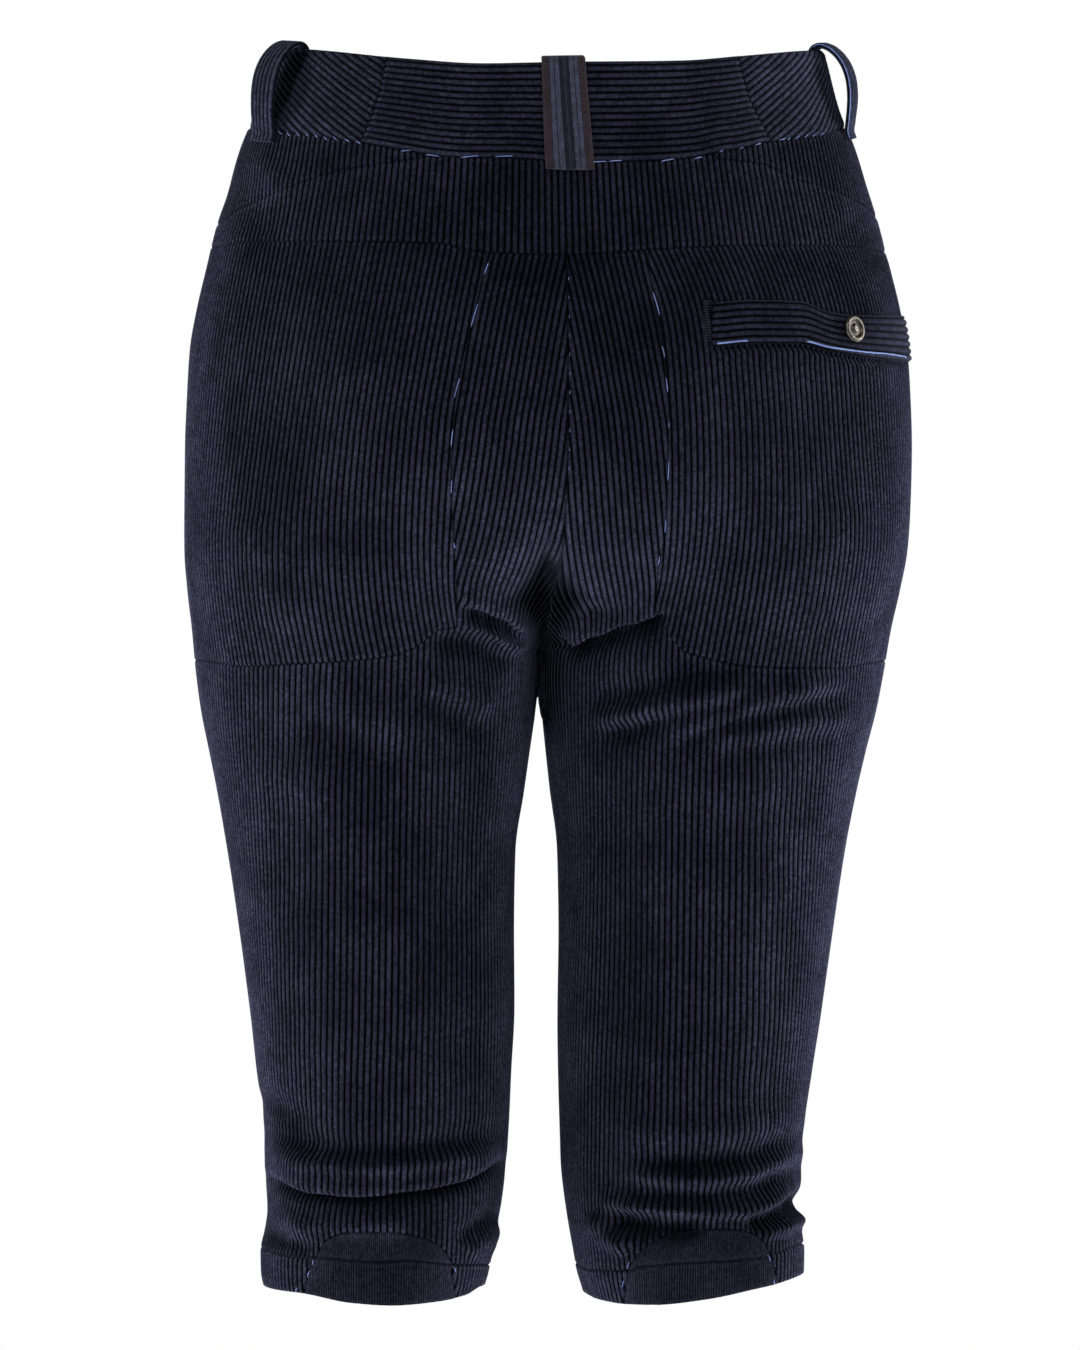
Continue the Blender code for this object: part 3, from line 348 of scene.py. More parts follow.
# a crease whose upper edge overhangs: mm the crest stands out, mm the trough goes in, its reach
# above and below, mm the crest hangs, and how sharply it turns
Crease = namedtuple("Crease", "side face crest trough up down hang turn line")
SHARP = [
    Crease(+1, "back", 4.2, 6.0, 7.5, 5.5, 3.0, 1.7, [(143, -528.5), (132, -533.5), (118, -537), (104, -539), (83, -539.5), (70, -538), (56, -535.5), (44, -532.5), (32, -527.5), (20, -521.5)]),
    Crease(-1, "back", 4.4, 6.0, 8.5, 9.0, 3.0, 2.0, [(4, -264), (14, -262), (28, -258), (42, -254), (54, -250.5), (62, -250)]),
]


def offset_from(line, ax, ez, up, down):
    """Height over a line (negative under it), and the place along it from 0 to 1."""
    pts = np.array(line, float)
    if pts[-1, 0] < pts[0, 0]:
        pts, back = pts[::-1], True
    else:
        back = False
    legs = np.linalg.norm(np.diff(pts, axis=0), axis=1)
    far = np.full(ax.shape, 1e9)
    sign = np.ones(ax.shape)
    place = np.zeros(ax.shape)
    run = 0.0
    for i, leg in enumerate(legs):
        dx, dz = (pts[i + 1] - pts[i]) / leg
        rx, rz = ax - pts[i, 0], ez - pts[i, 1]
        s = np.clip(rx * dx + rz * dz, 0, leg)
        d = np.hypot(rx - s * dx, rz - s * dz)
        nearer = d < far
        place = np.where(nearer, (run + s) / legs.sum(), place)
        sign = np.where(nearer, np.sign(dx * rz - dz * rx + 1e-12), sign)
        far = np.minimum(far, d)
        run += leg
    return far * sign, (1 - place if back else place)


def fold_shape(side, q, p):
    """How far the folds move the cloth out along its normal, and down, mm."""
    ex, ez = elevation(p)
    ax = ex * side
    out, down = np.zeros(ax.shape), np.zeros(ax.shape)
    for f in SOFT + SHARP:
        reach = 3.2 * max(f.up, f.down)
        xs, zs = [c[0] for c in f.line], [c[1] for c in f.line]
        near = ((np.sign(side) == f.side) & (ax > min(xs) - reach) & (ax < max(xs) + reach)
                & (ez > min(zs) - reach) & (ez < max(zs) + reach)
                & ((q < 0.14) if f.face == "back" else (q > -0.14)))
        if not near.any():
            continue
        d, s = offset_from(f.line, ax[near], ez[near], f.up, f.down)
        qn = q[near]
        ends = step(s, -0.02, 0.22) * step(s, 1.02, 0.78)
        ends = ends * (step(qn, 0.13, -0.13) if f.face == "back" else step(qn, -0.13, 0.13))
        # uneven along its length
        ends = ends * (1 + 0.16 * np.sin(s * 9 + f.line[0][1]) + 0.1 * np.sin(s * 23 + f.line[0][0]))
        if isinstance(f, Fold):
            g = np.exp(-(d / np.where(d > 0, f.up, f.down)) ** 2)
            out[near] += f.rise * g * ends
            down[near] += f.hang * g * ends
        else:
            over = 1 / (1 + np.exp(-np.clip(d / (f.turn * 0.5), -30, 30)))
            out[near] += ends * (f.crest * np.exp(-(d / f.up) ** 2) * over
                                 - f.trough * np.exp(-(d / f.down) ** 2) * (1 - over))
            down[near] += f.hang * np.exp(-((d - 1.2) / 2.6) ** 2) * ends
    still = step(1 - np.abs(q), 0.0, 0.09)      # nothing moves at the centre seams
    return out * still, down * still


# ---------------------------------------------------------------- the cloth, worked out once
MAP_T = np.unique(np.concatenate([np.arange(0, 2.2001, 0.0035), [1.0, SIDE_SEAM, 2.0]]))
MAP_L = np.arange(60.0, -632.0, -1.0)


def hollow(p):
    """The hollow at the fork, where the cloth is drawn forward, from 0 to 1; it also sets where the pile carries
    painted shade.
    """
    ex, ez = elevation(p)
    away = np.abs(ex - 0.5) / 19 + np.abs(ez + 243) / np.where(ez > -243, 27, 36)
    under = 0.8 * np.exp(-(ex / 8) ** 2) * step(ez, -236, -252) * step(ez, -322, -290)
    return np.maximum(np.exp(-away ** 2.6 * 1.6), under)


UNDER_LOOP = {   # the middle of the painted shade beside each side loop: outward distance, height, half width, mm
    +1: [(120.5, 29.0, 1.6), (124.5, 21.5, 2.8), (128.3, 15.0, 3.4), (131.5, 5.0, 2.9), (136.0, -5.0, 1.8)],
    -1: [(133.5, 24.0, 2.2), (135.5, 15.0, 2.8), (139.5, 3.0, 2.6), (143.0, -6.0, 1.6)],
}


def under_loop(p):
    """The dark beside the side loops, where the band is in their shade, from 0 to 1."""
    ex, ez = elevation(p)
    dark = np.zeros(ex.shape)
    for side, rows in UNDER_LOOP.items():
        x, z, w = np.array(rows, float)[::-1].T
        inside = step(ez, z[0] - 2, z[0] + 1) * step(ez, z[-1] + 1.5, z[-1] - 1)
        off = ex * side - np.interp(ez, z, x)
        off = np.where(off > 0, off * np.interp(ez, z, w) / (np.interp(ez, z, w) + 5.0), off)
        dark = np.maximum(dark, inside * np.exp(-np.abs(off / np.interp(ez, z, w)) ** 2) * (0.8 if side > 0 else 0.4))
    return dark


def make_map(side):
    t = MAP_T * side
    t[0] = side * 1e-9
    s, q = ring_place(t)
    q = np.where(t == 0, -1.0, q)
    S, L = np.meshgrid(s, MAP_L, indexing="ij")
    Q, _ = np.meshgrid(q, MAP_L, indexing="ij")
    p = bare(S, Q, L)
    n = grid_normals(p, side)
    out, down = fold_shape(S, Q, p)
    out, down = out * FOLD, down * FOLD
    p = p + n * out[..., None]
    p[..., 2] -= down
    p[..., 1] -= 44 * hollow(p) * (Q < 0) * step(p[..., 1], -4, 26)
    n = grid_normals(p, side)
    # painted light and shade: the pile is paler where the cloth faces down and where it faces sideways, and darker in a
    # fold's trough
    turned = -n[..., 2]
    pale = np.exp(np.where(turned > 0, 1.15, 1.0) * turned + np.minimum(out, 0) / 5.0 + np.maximum(out, 0) / 22.0)
    pale = pale * (1 + 0.7 * np.abs(n[..., 0]) ** 3)
    return p, n, np.clip(pale, 0.12, 2.3)[..., None]


def grid_normals(p, side):
    u, v = np.gradient(p, axis=0), np.gradient(p, axis=1)
    n = np.cross(u, v) * side
    # the axes run round the ring and down, so this points out
    n /= np.maximum(np.linalg.norm(n, axis=-1, keepdims=True), 1e-9)
    return n


MAPS = {s: make_map(s) for s in (1, -1)}


def lookup(t, level, with_painted_light=False):
    """Outer face and its normal at signed ring places (out to 2.2 from the centre back) and levels, mm, and on request
    the painted light and shade as well.
    """
    t, level = np.broadcast_arrays(np.asarray(t, float), np.asarray(level, float))
    P, N, C = np.empty(t.shape + (3,)), np.empty(t.shape + (3,)), np.empty(t.shape + (1,))
    for side in (1, -1):
        m = (t >= 0) if side > 0 else (t < 0)
        if not m.any():
            continue
        A, B, D = MAPS[side]
        i = np.clip(np.interp(np.abs(t[m]), MAP_T, np.arange(len(MAP_T))), 0, len(MAP_T) - 1.0001)
        j = np.clip((MAP_L[0] - level[m]), 0, len(MAP_L) - 1.0001)
        a, b = i.astype(int), j.astype(int)
        u, v = (i - a)[..., None], (j - b)[..., None]
        for M, O in ((A, P), (B, N), (D, C))[:3 if with_painted_light else 2]:
            O[m] = ((M[a, b] * (1 - u) + M[a + 1, b] * u) * (1 - v)
                    + (M[a, b + 1] * (1 - u) + M[a + 1, b + 1] * u) * v)
    N /= np.maximum(np.linalg.norm(N, axis=-1, keepdims=True), 1e-9)
    return (P, N, C[..., 0]) if with_painted_light else (P, N)


# ---------------------------------------------------------------- where the wales run
T_HALF = MAP_T[MAP_T <= 2.0]


def ring_length(side, level, beyond=False):
    """Length of cloth from the centre back along the ring at a level, at MAP_T places."""
    T = MAP_T if beyond else T_HALF
    t = T * side
    t[0] = side * 1e-9
    s, q = ring_place(t)
    p = bare(s, q, np.full(len(t), float(level)))
    run = np.concatenate([[0], np.cumsum(np.linalg.norm(np.diff(p, axis=0), axis=1))])
    x = (p[:, 0] - float(column["sway"](level))) * side
    back = T <= 1
    front = (T >= 1) & (T <= 2)
    at_back = float(np.interp(GRAIN, x[back], run[back]))
    at_front = float(np.interp(-GRAIN, -x[front], run[front]))
    return T, run, at_back, at_front


def lean(rows):
    """How far wales stand outwards at a level, from (level, degrees that their tops lean in) rows."""
    rows = sorted(rows)
    L = np.arange(rows[0][0], rows[-1][0] + 1.0)
    slope = -np.tan(np.radians(np.interp(L, *np.array(rows, float).T)))
    run = np.concatenate([[0], np.cumsum((slope[1:] + slope[:-1]) / 2)])
    run -= np.interp(-205, L, run)
    return lambda level: np.interp(level, L, run)


def upright(side, tilt=None, grain="back", beyond=False, around=False):
    """Places of wales that run down the cloth, counted from the leg's grain line."""
    whole = ring_length(side, -596.0, beyond)[1][-1]

    def place(U, R):
        t = np.empty(U.shape)
        for j, L in enumerate(R[0]):
            T, run, back, front = ring_length(side, L, beyond)
            base = back if grain == "back" else front
            a = base + U[:, j] * PITCH + (tilt(L) if tilt else 0.0)
            if around:      # as many wales at the hem as at the knee
                a = base + U[:, j] * PITCH * run[-1] / whole + (tilt(L) if tilt else 0.0)
                a = np.where(a > run[-1], a - run[-1], a)
            t[:, j] = np.interp(a, run, T)
        return side * np.maximum(t, 1e-7), R
    return place


def span(side, levels, t0, t1, tilt=None, grain="back", beyond=False, over=0.0):
    """The first and last wale between two ring places."""
    lo, hi = 1e9, -1e9
    for L in levels[:: max(1, len(levels) // 24)]:
        T, run, back, front = ring_length(side, L, beyond)
        base = (back if grain == "back" else front) + (tilt(L) if tilt else 0.0)
        lo = min(lo, (np.interp(t0, T, run) - base) / PITCH)
        hi = max(hi, (np.interp(t1, T, run) + over * run[-1] - base) / PITCH)
    return lo - 0.5, hi + 0.5


def fanned(fan, middle):
    """Places of wales counted from the centre back, closing up towards the waist."""
    def place(U, R):
        t = np.empty(U.shape)
        for j, L in enumerate(R[0]):
            a = U[:, j] * PITCH * (1 - fan * (L - middle))
            for side in (1, -1):
                T, run, _, _ = ring_length(side, L)
                m = (a >= 0) if side > 0 else (a < 0)
                t[m, j] = side * np.interp(np.abs(a[m]), run, T)
        return t, R
    return place


def spread_rows(stops):
    """Levels from (level, spacing) stops: the spacing holds from each stop down to the next."""
    out = [float(stops[0][0])]
    for (a, gap), (b, _) in zip(stops, stops[1:]):
        n = max(1, round((a - b) / gap))
        out += [a - (a - b) * k / n for k in range(1, n + 1)]
    return out
def fields(t, level, p):
    """Signed distances from every seam, mm, positive on the side that each name says."""
    side, q = ring_place(t)
    ex, ez = elevation(p)
    ax = ex * side
    back = q < 0
    f = dict(
        over_waist=ez - waist_line(ex),
        under_top=top_line(ex) - ez,
        over_hip=ez - sided("hip", side, ax),
        over_yoke=ez - yoke_line(ex),
        behind_side=(SIDE_SEAM - 1 - q) * 220,
        over_cuff=ez - sided("cuff", side, ax),
        over_hem=ez - sided("hem", side, ax),
        outside_mitre=np.where(back, ax - sided("mitre", side, ez), 40),
        under_arch=np.where(back, sided("arch", side, ax) - ez, -20),
        in_insert=np.where(back, np.minimum(ax - sided("insert_in", side, ez),
                                            sided("insert_out", side, ez) - ax), -20),
    )
    strip = sided("inner", side, ez) - ax
    low = sided("bottom", side, ax) - ez
    f["back_leg"] = np.maximum(strip, low)
    f["from_back"] = (1 + q) * 220
    f["from_front"] = (1 - q) * 220
    f["ax"], f["ez"] = ax, ez
    return f


def find_places(side, ax, ez):
    """Ring places and levels on the back whose drawing on the elevation is (ax, ez)."""
    ax, ez = np.asarray(ax, float), np.asarray(ez, float)
    sides = np.full(ax.shape, float(side))
    q, level = np.full(ax.shape, -0.5), ez.copy()

    def drawn(q, level):
        ex, z = elevation(bare(sides, q, level))
        return ex * side, z

    for _ in range(25):
        x0, z0 = drawn(q, level)
        dq, dl = 1e-4, 1e-2
        x1, z1 = drawn(q + dq, level)
        x2, z2 = drawn(q, level + dl)
        a, b, c, d = (x1 - x0) / dq, (x2 - x0) / dl, (z1 - z0) / dq, (z2 - z0) / dl
        det = a * d - b * c
        rx, rz = ax - x0, ez - z0
        q = np.clip(q + np.clip((d * rx - b * rz) / det, -.1, .1), -.998, -.002)
        level = level + np.clip((a * rz - c * rx) / det, -20, 20)
    return side * (q + 1), level


# ---------------------------------------------------------------- grids along the wales
# samples across one wale: a narrow valley, then a round back
PHASE = np.array([0.0, 0.11, 0.29, 0.5, 0.71, 0.89])
BACK = np.array([0.0, 0.38, 0.88, 1.0, 0.88, 0.38, 0.0])


def wale_profile(u):
    return np.interp(u - np.floor(u), np.append(PHASE, 1.0), BACK)


def wales(first, last, phase=PHASE):
    n = np.arange(math.floor(first), math.ceil(last) + 1)
    return (n[:, None] + phase[None, :]).ravel()


def cut(poly, m, c):
    """The parts of a polygon over and under a value."""
    over, under = [], []
    n = len(poly)
    for a in range(n):
        p, q = poly[a], poly[(a + 1) % n]
        fp, fq = p[m] - c, q[m] - c
        if fp >= 0:
            over.append(p)
        if fp <= 0:
            under.append(p)
        if (fp > 0 > fq) or (fp < 0 < fq):
            if (p[0], p[1]) <= (q[0], q[1]):
                s = fp / (fp - fq)
                x = [a0 + (b0 - a0) * s for a0, b0 in zip(p, q)]
            else:
                s = fq / (fq - fp)
                x = [b0 + (a0 - b0) * s for a0, b0 in zip(p, q)]
            over.append(x)
            under.append(x)
    return over, under


def trimmed(values, offsets):
    """The grid's cells, cut to where every value is positive and split where the edges roll.

    Gives grid places of the vertices, their least value, and the faces as index lists."""
    v = values.copy()
    v[np.abs(v) < 0.06] = 0.0
    for k, offs in enumerate(offsets):
        for c in offs:
            v[k][np.abs(v[k] - c) < 0.12] = c
    nu, nr = v.shape[1:]
    c4 = np.stack([v[:, :-1, :-1], v[:, 1:, :-1], v[:, 1:, 1:], v[:, :-1, 1:]])   # corner, value, i, j
    low, high = c4.min(0), c4.max(0)
    gone = (high <= 0).any(0)
    whole = (low >= 0).all(0)
    split = np.zeros(whole.shape, bool)
    for k, offs in enumerate(offsets):
        for c in offs:
            split |= (low[k] < c) & (high[k] > c)
    plain = whole & ~split & ~gone
    work = ~gone & ~plain
    i, j = np.nonzero(plain)
    quads = np.stack([i * nr + j, (i + 1) * nr + j, (i + 1) * nr + j + 1, i * nr + j + 1], 1)
    nodes, where_, least = {}, [], []
    faces = []
    count = nu * nr
    vt = np.moveaxis(v, 0, -1)
    for i, j in zip(*np.nonzero(work)):
        polys = [[[float(a), float(b)] + vt[a, b].tolist()
                  for a, b in ((i, j), (i + 1, j), (i + 1, j + 1), (i, j + 1))]]
        for k in range(v.shape[0]):
            if low[k, i, j] < 0:
                polys = [o for o in (cut(p, k + 2, 0.0)[0] for p in polys) if len(o) > 2]
        for k, offs in enumerate(offsets):
            for c in offs:
                if low[k, i, j] < c < high[k, i, j]:
                    new = []
                    for p in polys:
                        new += [o for o in cut(p, k + 2, c) if len(o) > 2]
                    polys = new
        for p in polys:
            f = []
            for w in p:
                key = (round(w[0] * 4e4), round(w[1] * 4e4))
                if key[0] % 40000 == 0 and key[1] % 40000 == 0:
                    at = key[0] // 40000 * nr + key[1] // 40000
                else:
                    at = nodes.get(key)
                    if at is None:
                        at = nodes[key] = count + len(where_)
                        where_.append((w[0], w[1]))
                        least.append(min(w[2:]))
                if at not in f:
                    f.append(at)
            if len(f) > 2:
                faces.append(f)
    gi, gj = np.meshgrid(np.arange(nu, dtype=float), np.arange(nr, dtype=float), indexing="ij")
    at = np.stack([gi.ravel(), gj.ravel()], 1)
    d = v.min(0).ravel()
    if where_:
        at = np.concatenate([at, np.array(where_)])
        d = np.concatenate([d, np.array(least)])
    return at, d, quads, faces


def at_places(arrays, at, nr):
    """Arrays over a grid, read at fractional places."""
    nu = arrays[0].shape[0]
    i = np.clip(np.floor(at[:, 0] + 1e-9).astype(int), 0, nu - 2)
    j = np.clip(np.floor(at[:, 1] + 1e-9).astype(int), 0, nr - 2)
    u, v = at[:, 0] - i, at[:, 1] - j
    out = []
    for a in arrays:
        uu, vv = (u[:, None], v[:, None]) if a.ndim == 3 else (u, v)
        out.append((a[i, j] * (1 - uu) + a[i + 1, j] * uu) * (1 - vv)
                   + (a[i, j + 1] * (1 - uu) + a[i + 1, j + 1] * uu) * vv)
    return out


def edge_loops(quads, faces, count):
    """Boundary loops, each in the order of its faces."""
    a = [quads.ravel()]
    b = [np.roll(quads, -1, axis=1).ravel()]
    for f in faces:
        a.append(np.array(f))
        b.append(np.array(f[1:] + f[:1]))
    a, b = np.concatenate(a), np.concatenate(b)
    code = a.astype(np.int64) * count + b
    back = b.astype(np.int64) * count + a
    free = ~np.isin(code, back)
    nxt = {}
    for x, y in zip(a[free].tolist(), b[free].tolist()):
        nxt.setdefault(x, []).append(y)
    loops = []
    while nxt:
        start = next(iter(nxt))
        loop = [start]
        x = start
        while x in nxt:
            y = nxt[x].pop()
            if not nxt[x]:
                del nxt[x]
            x = y
            if x == start:
                break
            loop.append(x)
        loops.append(loop)
    return loops


def one_part(quads, faces, count):
    """Without the crumbs that a cut leaves: small groups of faces joined to nothing."""
    loops = sorted(edge_loops(quads, faces, count), key=len, reverse=True)
    for loop in loops[1:]:
        if len(loop) > 40:
            continue
        region = set(loop)
        for _ in range(24):
            touch = np.isin(quads, np.fromiter(region, np.int64)).any(1)
            mine = [f for f in faces if region.intersection(f)]
            grown = region.union(quads[touch].ravel().tolist(), *mine)
            if len(grown) == len(region):
                break
            region = grown
            if len(region) > 600:
                break
        else:
            continue
        if len(region) > 600:
            continue
        quads = quads[~np.isin(quads, np.fromiter(region, np.int64)).any(1)]
        faces = [f for f in faces if not region.intersection(f)]
    return quads, faces


def piece(name, us, rows, place, inside, material, *, lift=0.0, thick=WALL, rib=RIB, rolls=(),
          roll=0.4, roll_reach=1.4, extra=None, uv_scale=(PITCH, 1.0), shape=wale_profile, coarse=2, margin=1.4):
    """A cut piece as a closed shell: fine outside along its wales, plain inside, rolled at its edges.

    inside gives (value, True where the edge crosses the wales) pairs, mm."""
    parts = []
    for inner in (False, True):
        if inner:
            u0 = np.arange(math.floor(us[0]), math.ceil(us[-1]) + 1, coarse).astype(float)
            u0[-1] = max(u0[-1], us[-1])
            if len(u0) < 4:
                u0 = np.linspace(us[0], us[-1], 5)
        else:
            u0 = np.array(us, float)
        U, R = np.meshgrid(u0, np.array(rows, float), indexing="ij")
        t, level = place(U, R)
        P, N, C = lookup(t, level, True)
        F = fields(t, level, P)
        got = inside(t, level, F, U, R)
        keep = EDGE if not inner else EDGE + margin
        v = np.stack([np.broadcast_to(np.asarray(g[0], float), U.shape) for g in got]) - keep
        offs = [(0.5, 1.2, roll_reach) if (g[1] and not inner) else () for g in got]
        at, d, quads, faces = trimmed(v, offs)
        quads, faces = one_part(quads, faces, len(at))
        x = extra(t, level, F) if extra is not None else np.zeros(U.shape)
        pv, nv, uv_u, uv_r, cv, xv = at_places([P, N, U, R, C, x], at, len(rows))
        nv /= np.maximum(np.linalg.norm(nv, axis=1, keepdims=True), 1e-9)
        used = np.zeros(len(at), bool)
        used[quads.ravel()] = True
        for f in faces:
            used[f] = True
        new = np.cumsum(used) - 1
        quads = new[quads]
        faces = [[int(new[k]) for k in f] for f in faces]
        pv, nv, uv_u, uv_r, d, xv, cv = (a[used] for a in (pv, nv, uv_u, uv_r, d, xv, cv))
        # which way the faces look
        probe = quads[:: max(1, len(quads) // 200)]
        e = np.cross(pv[probe[:, 1]] - pv[probe[:, 0]], pv[probe[:, 3]] - pv[probe[:, 0]])
        if (e * nv[probe[:, 0]]).sum(1).sum() < 0:
            quads = quads[:, ::-1]
            faces = [f[::-1] for f in faces]
        loops = sorted(edge_loops(quads, faces, len(pv)), key=len, reverse=True)
        parts.append([pv, nv, uv_u, uv_r, d, xv, cv, quads, faces, loops])
    (pv, nv, uu, ur, d, xv, cv, quads, faces, loops), (pi, ni, iu, ir, di, xi, _, qi, fi, li) = parts
    if len(loops) != 1 or len(li) != 1:
        print("LOOPS", name, [len(l) for l in loops], [len(l) for l in li])
    tuck = roll * (1 - step(d, -0.05, roll_reach)) ** 1.5
    height = rib * (shape(uu) - 0.72) * step(d, -0.7, 1.1)
    outer = pv + nv * (lift + xv + height - tuck)[:, None]
    inner = pi + ni * (lift + xi * 0.8 - thick)[:, None]
    loop = np.array(loops[0])
    ring = pv[loop] + nv[loop] * (lift + xv[loop] * 0.8 - thick)[:, None]
    # flat places, mm
    flat_o = np.stack([uu * uv_scale[0], ur * uv_scale[1]], 1)
    flat_i = np.stack([iu * uv_scale[0], ir * uv_scale[1]], 1)
    lo, hi = flat_o.min(0), flat_o.max(0)
    tangent = np.roll(flat_o[loop], -1, axis=0) - np.roll(flat_o[loop], 1, axis=0)
    area = 0.5 * (flat_o[loop][:, 0] * np.roll(flat_o[loop][:, 1], -1)
                  - np.roll(flat_o[loop][:, 0], -1) * flat_o[loop][:, 1]).sum()
    out = np.stack([tangent[:, 1], -tangent[:, 0]], 1) * np.sign(area)
    out /= np.maximum(np.linalg.norm(out, axis=1, keepdims=True), 1e-9)
    flat_rim = flat_o[loop] + out * 1.6
    shift = np.array([hi[0] - lo[0] + 12.0, 0.0])
    no, nr_, ni_ = len(outer), len(ring), len(inner)
    verts = np.concatenate([outer, ring, inner])
    # the ribbon between the rim's foot and the plain inside
    c = li[0]
    C = inner[c]
    k0 = int(np.argmin(((C - ring[0]) ** 2).sum(1)))
    order = np.roll(np.array(c), -k0)
    C = inner[order]
    tri = []
    i = k = 0
    n, m = len(ring), len(order)
    rl = np.concatenate([[0], np.cumsum(np.linalg.norm(np.diff(np.vstack([ring, ring[:1]]), axis=0), axis=1))])
    cl = np.concatenate([[0], np.cumsum(np.linalg.norm(np.diff(np.vstack([C, C[:1]]), axis=0), axis=1))])
    while i < n or k < m:
        if i < n and k < m:
            a = ring[(i + 1) % n] - C[k % m]
            b = C[(k + 1) % m] - ring[i % n]
            da, db = a @ a, b @ b
            lag = rl[i] / rl[-1] - cl[k] / cl[-1]
            if lag > 0.06:
                da = 1e9
            elif lag < -0.06:
                db = 1e9
            go_ring = da <= db
        else:
            go_ring = i < n
        if go_ring:
            tri.append((no + (i + 1) % n, no + i % n, no + nr_ + order[k % m]))
            i += 1
        else:
            tri.append((no + nr_ + order[k % m], no + nr_ + order[(k + 1) % m], no + i % n))
            k += 1
    rim = [(int(loop[(a + 1) % n]), int(loop[a]), no + a, no + (a + 1) % n) for a in range(n)]
    inner_quads = qi[:, ::-1] + no + nr_
    inner_faces = [[x + no + nr_ for x in f[::-1]] for f in fi]
    uv_out = np.concatenate([flat_o, flat_rim, flat_i]) - lo
    uv_in = np.concatenate([flat_o, flat_o[loop], flat_i]) - lo + shift
    groups = [(quads, uv_out), (faces, uv_out), (rim, uv_out), (tri, uv_in), (inner_quads, uv_in), (inner_faces, uv_in)]
    attrs = dict(
        rib=np.concatenate([np.clip(shape(uu) * step(d, -1.0, 0.45), 0, 1), np.zeros(nr_), np.full(ni_, 0.5)]),
        edge=np.concatenate([np.clip(d, 0, 12), np.zeros(nr_), np.full(ni_, 12.0)]),
        wale=np.concatenate([np.floor(uu), np.floor(uu[loop]), np.floor(iu)]),
        along=np.concatenate([ur * uv_scale[1], (ur * uv_scale[1])[loop], ir * uv_scale[1]]),
        inner=np.concatenate([np.zeros(no), np.full(nr_, 0.4), np.ones(ni_)]),
        # painted shade: the pile is darkened in the hollow at the fork and beside the two side loops
        painted_shade=np.concatenate([np.maximum(hollow(pv), under_loop(pv)), np.zeros(nr_ + ni_)]) * (verts[:, 1] > -30),
        # painted light and shade worked out in make_map
        pale=np.concatenate([cv, np.ones(nr_ + ni_)]),
    )
    return solid(name, verts, groups, attrs, material)


def solid(name, verts, groups, attrs, material, sharp=None):
    """A mesh from groups of (faces, flat places of the vertices), with a UV map made from those places."""
    loops, starts, uvs = [], [], []
    run = 0
    for faces, uv in groups:
        if len(faces) == 0:
            continue
        if isinstance(faces, np.ndarray):
            loops.append(faces.ravel())
            starts.append(run + np.arange(len(faces)) * faces.shape[1])
            run += faces.size
        else:
            flat = np.fromiter((x for f in faces for x in f), np.int64)
            sizes = np.array([len(f) for f in faces])
            starts.append(run + np.concatenate([[0], np.cumsum(sizes)[:-1]]))
            loops.append(flat)
            run += len(flat)
        uvs.append(uv[loops[-1]])
    loops, starts, uvs = np.concatenate(loops), np.concatenate(starts), np.concatenate(uvs)
    mesh = bpy.data.meshes.new(name)
    mesh.vertices.add(len(verts))
    mesh.vertices.foreach_set("co", (verts * MM).astype(np.float32).ravel())
    mesh.loops.add(len(loops))
    mesh.loops.foreach_set("vertex_index", loops.astype(np.int32))
    mesh.polygons.add(len(starts))
    mesh.polygons.foreach_set("loop_start", starts.astype(np.int32))
    mesh.update(calc_edges=True)
    lo, hi = uvs.min(0), uvs.max(0)
    layer = mesh.uv_layers.new(name="OFBake")
    layer.data.foreach_set("uv", (0.01 + 0.98 * (uvs - lo) / (hi - lo).max()).astype(np.float32).ravel())
    for k, values in attrs.items():
        mesh.attributes.new(k, "FLOAT", "POINT").data.foreach_set("value", values.astype(np.float32))
    mesh.materials.append(material)
    mesh.shade_smooth()
    mesh.set_sharp_from_angle(angle=math.radians(62))
    ob = bpy.data.objects.new(name, mesh)
    bpy.context.scene.collection.objects.link(ob)
    MADE.append(ob)
    return ob


MADE = []


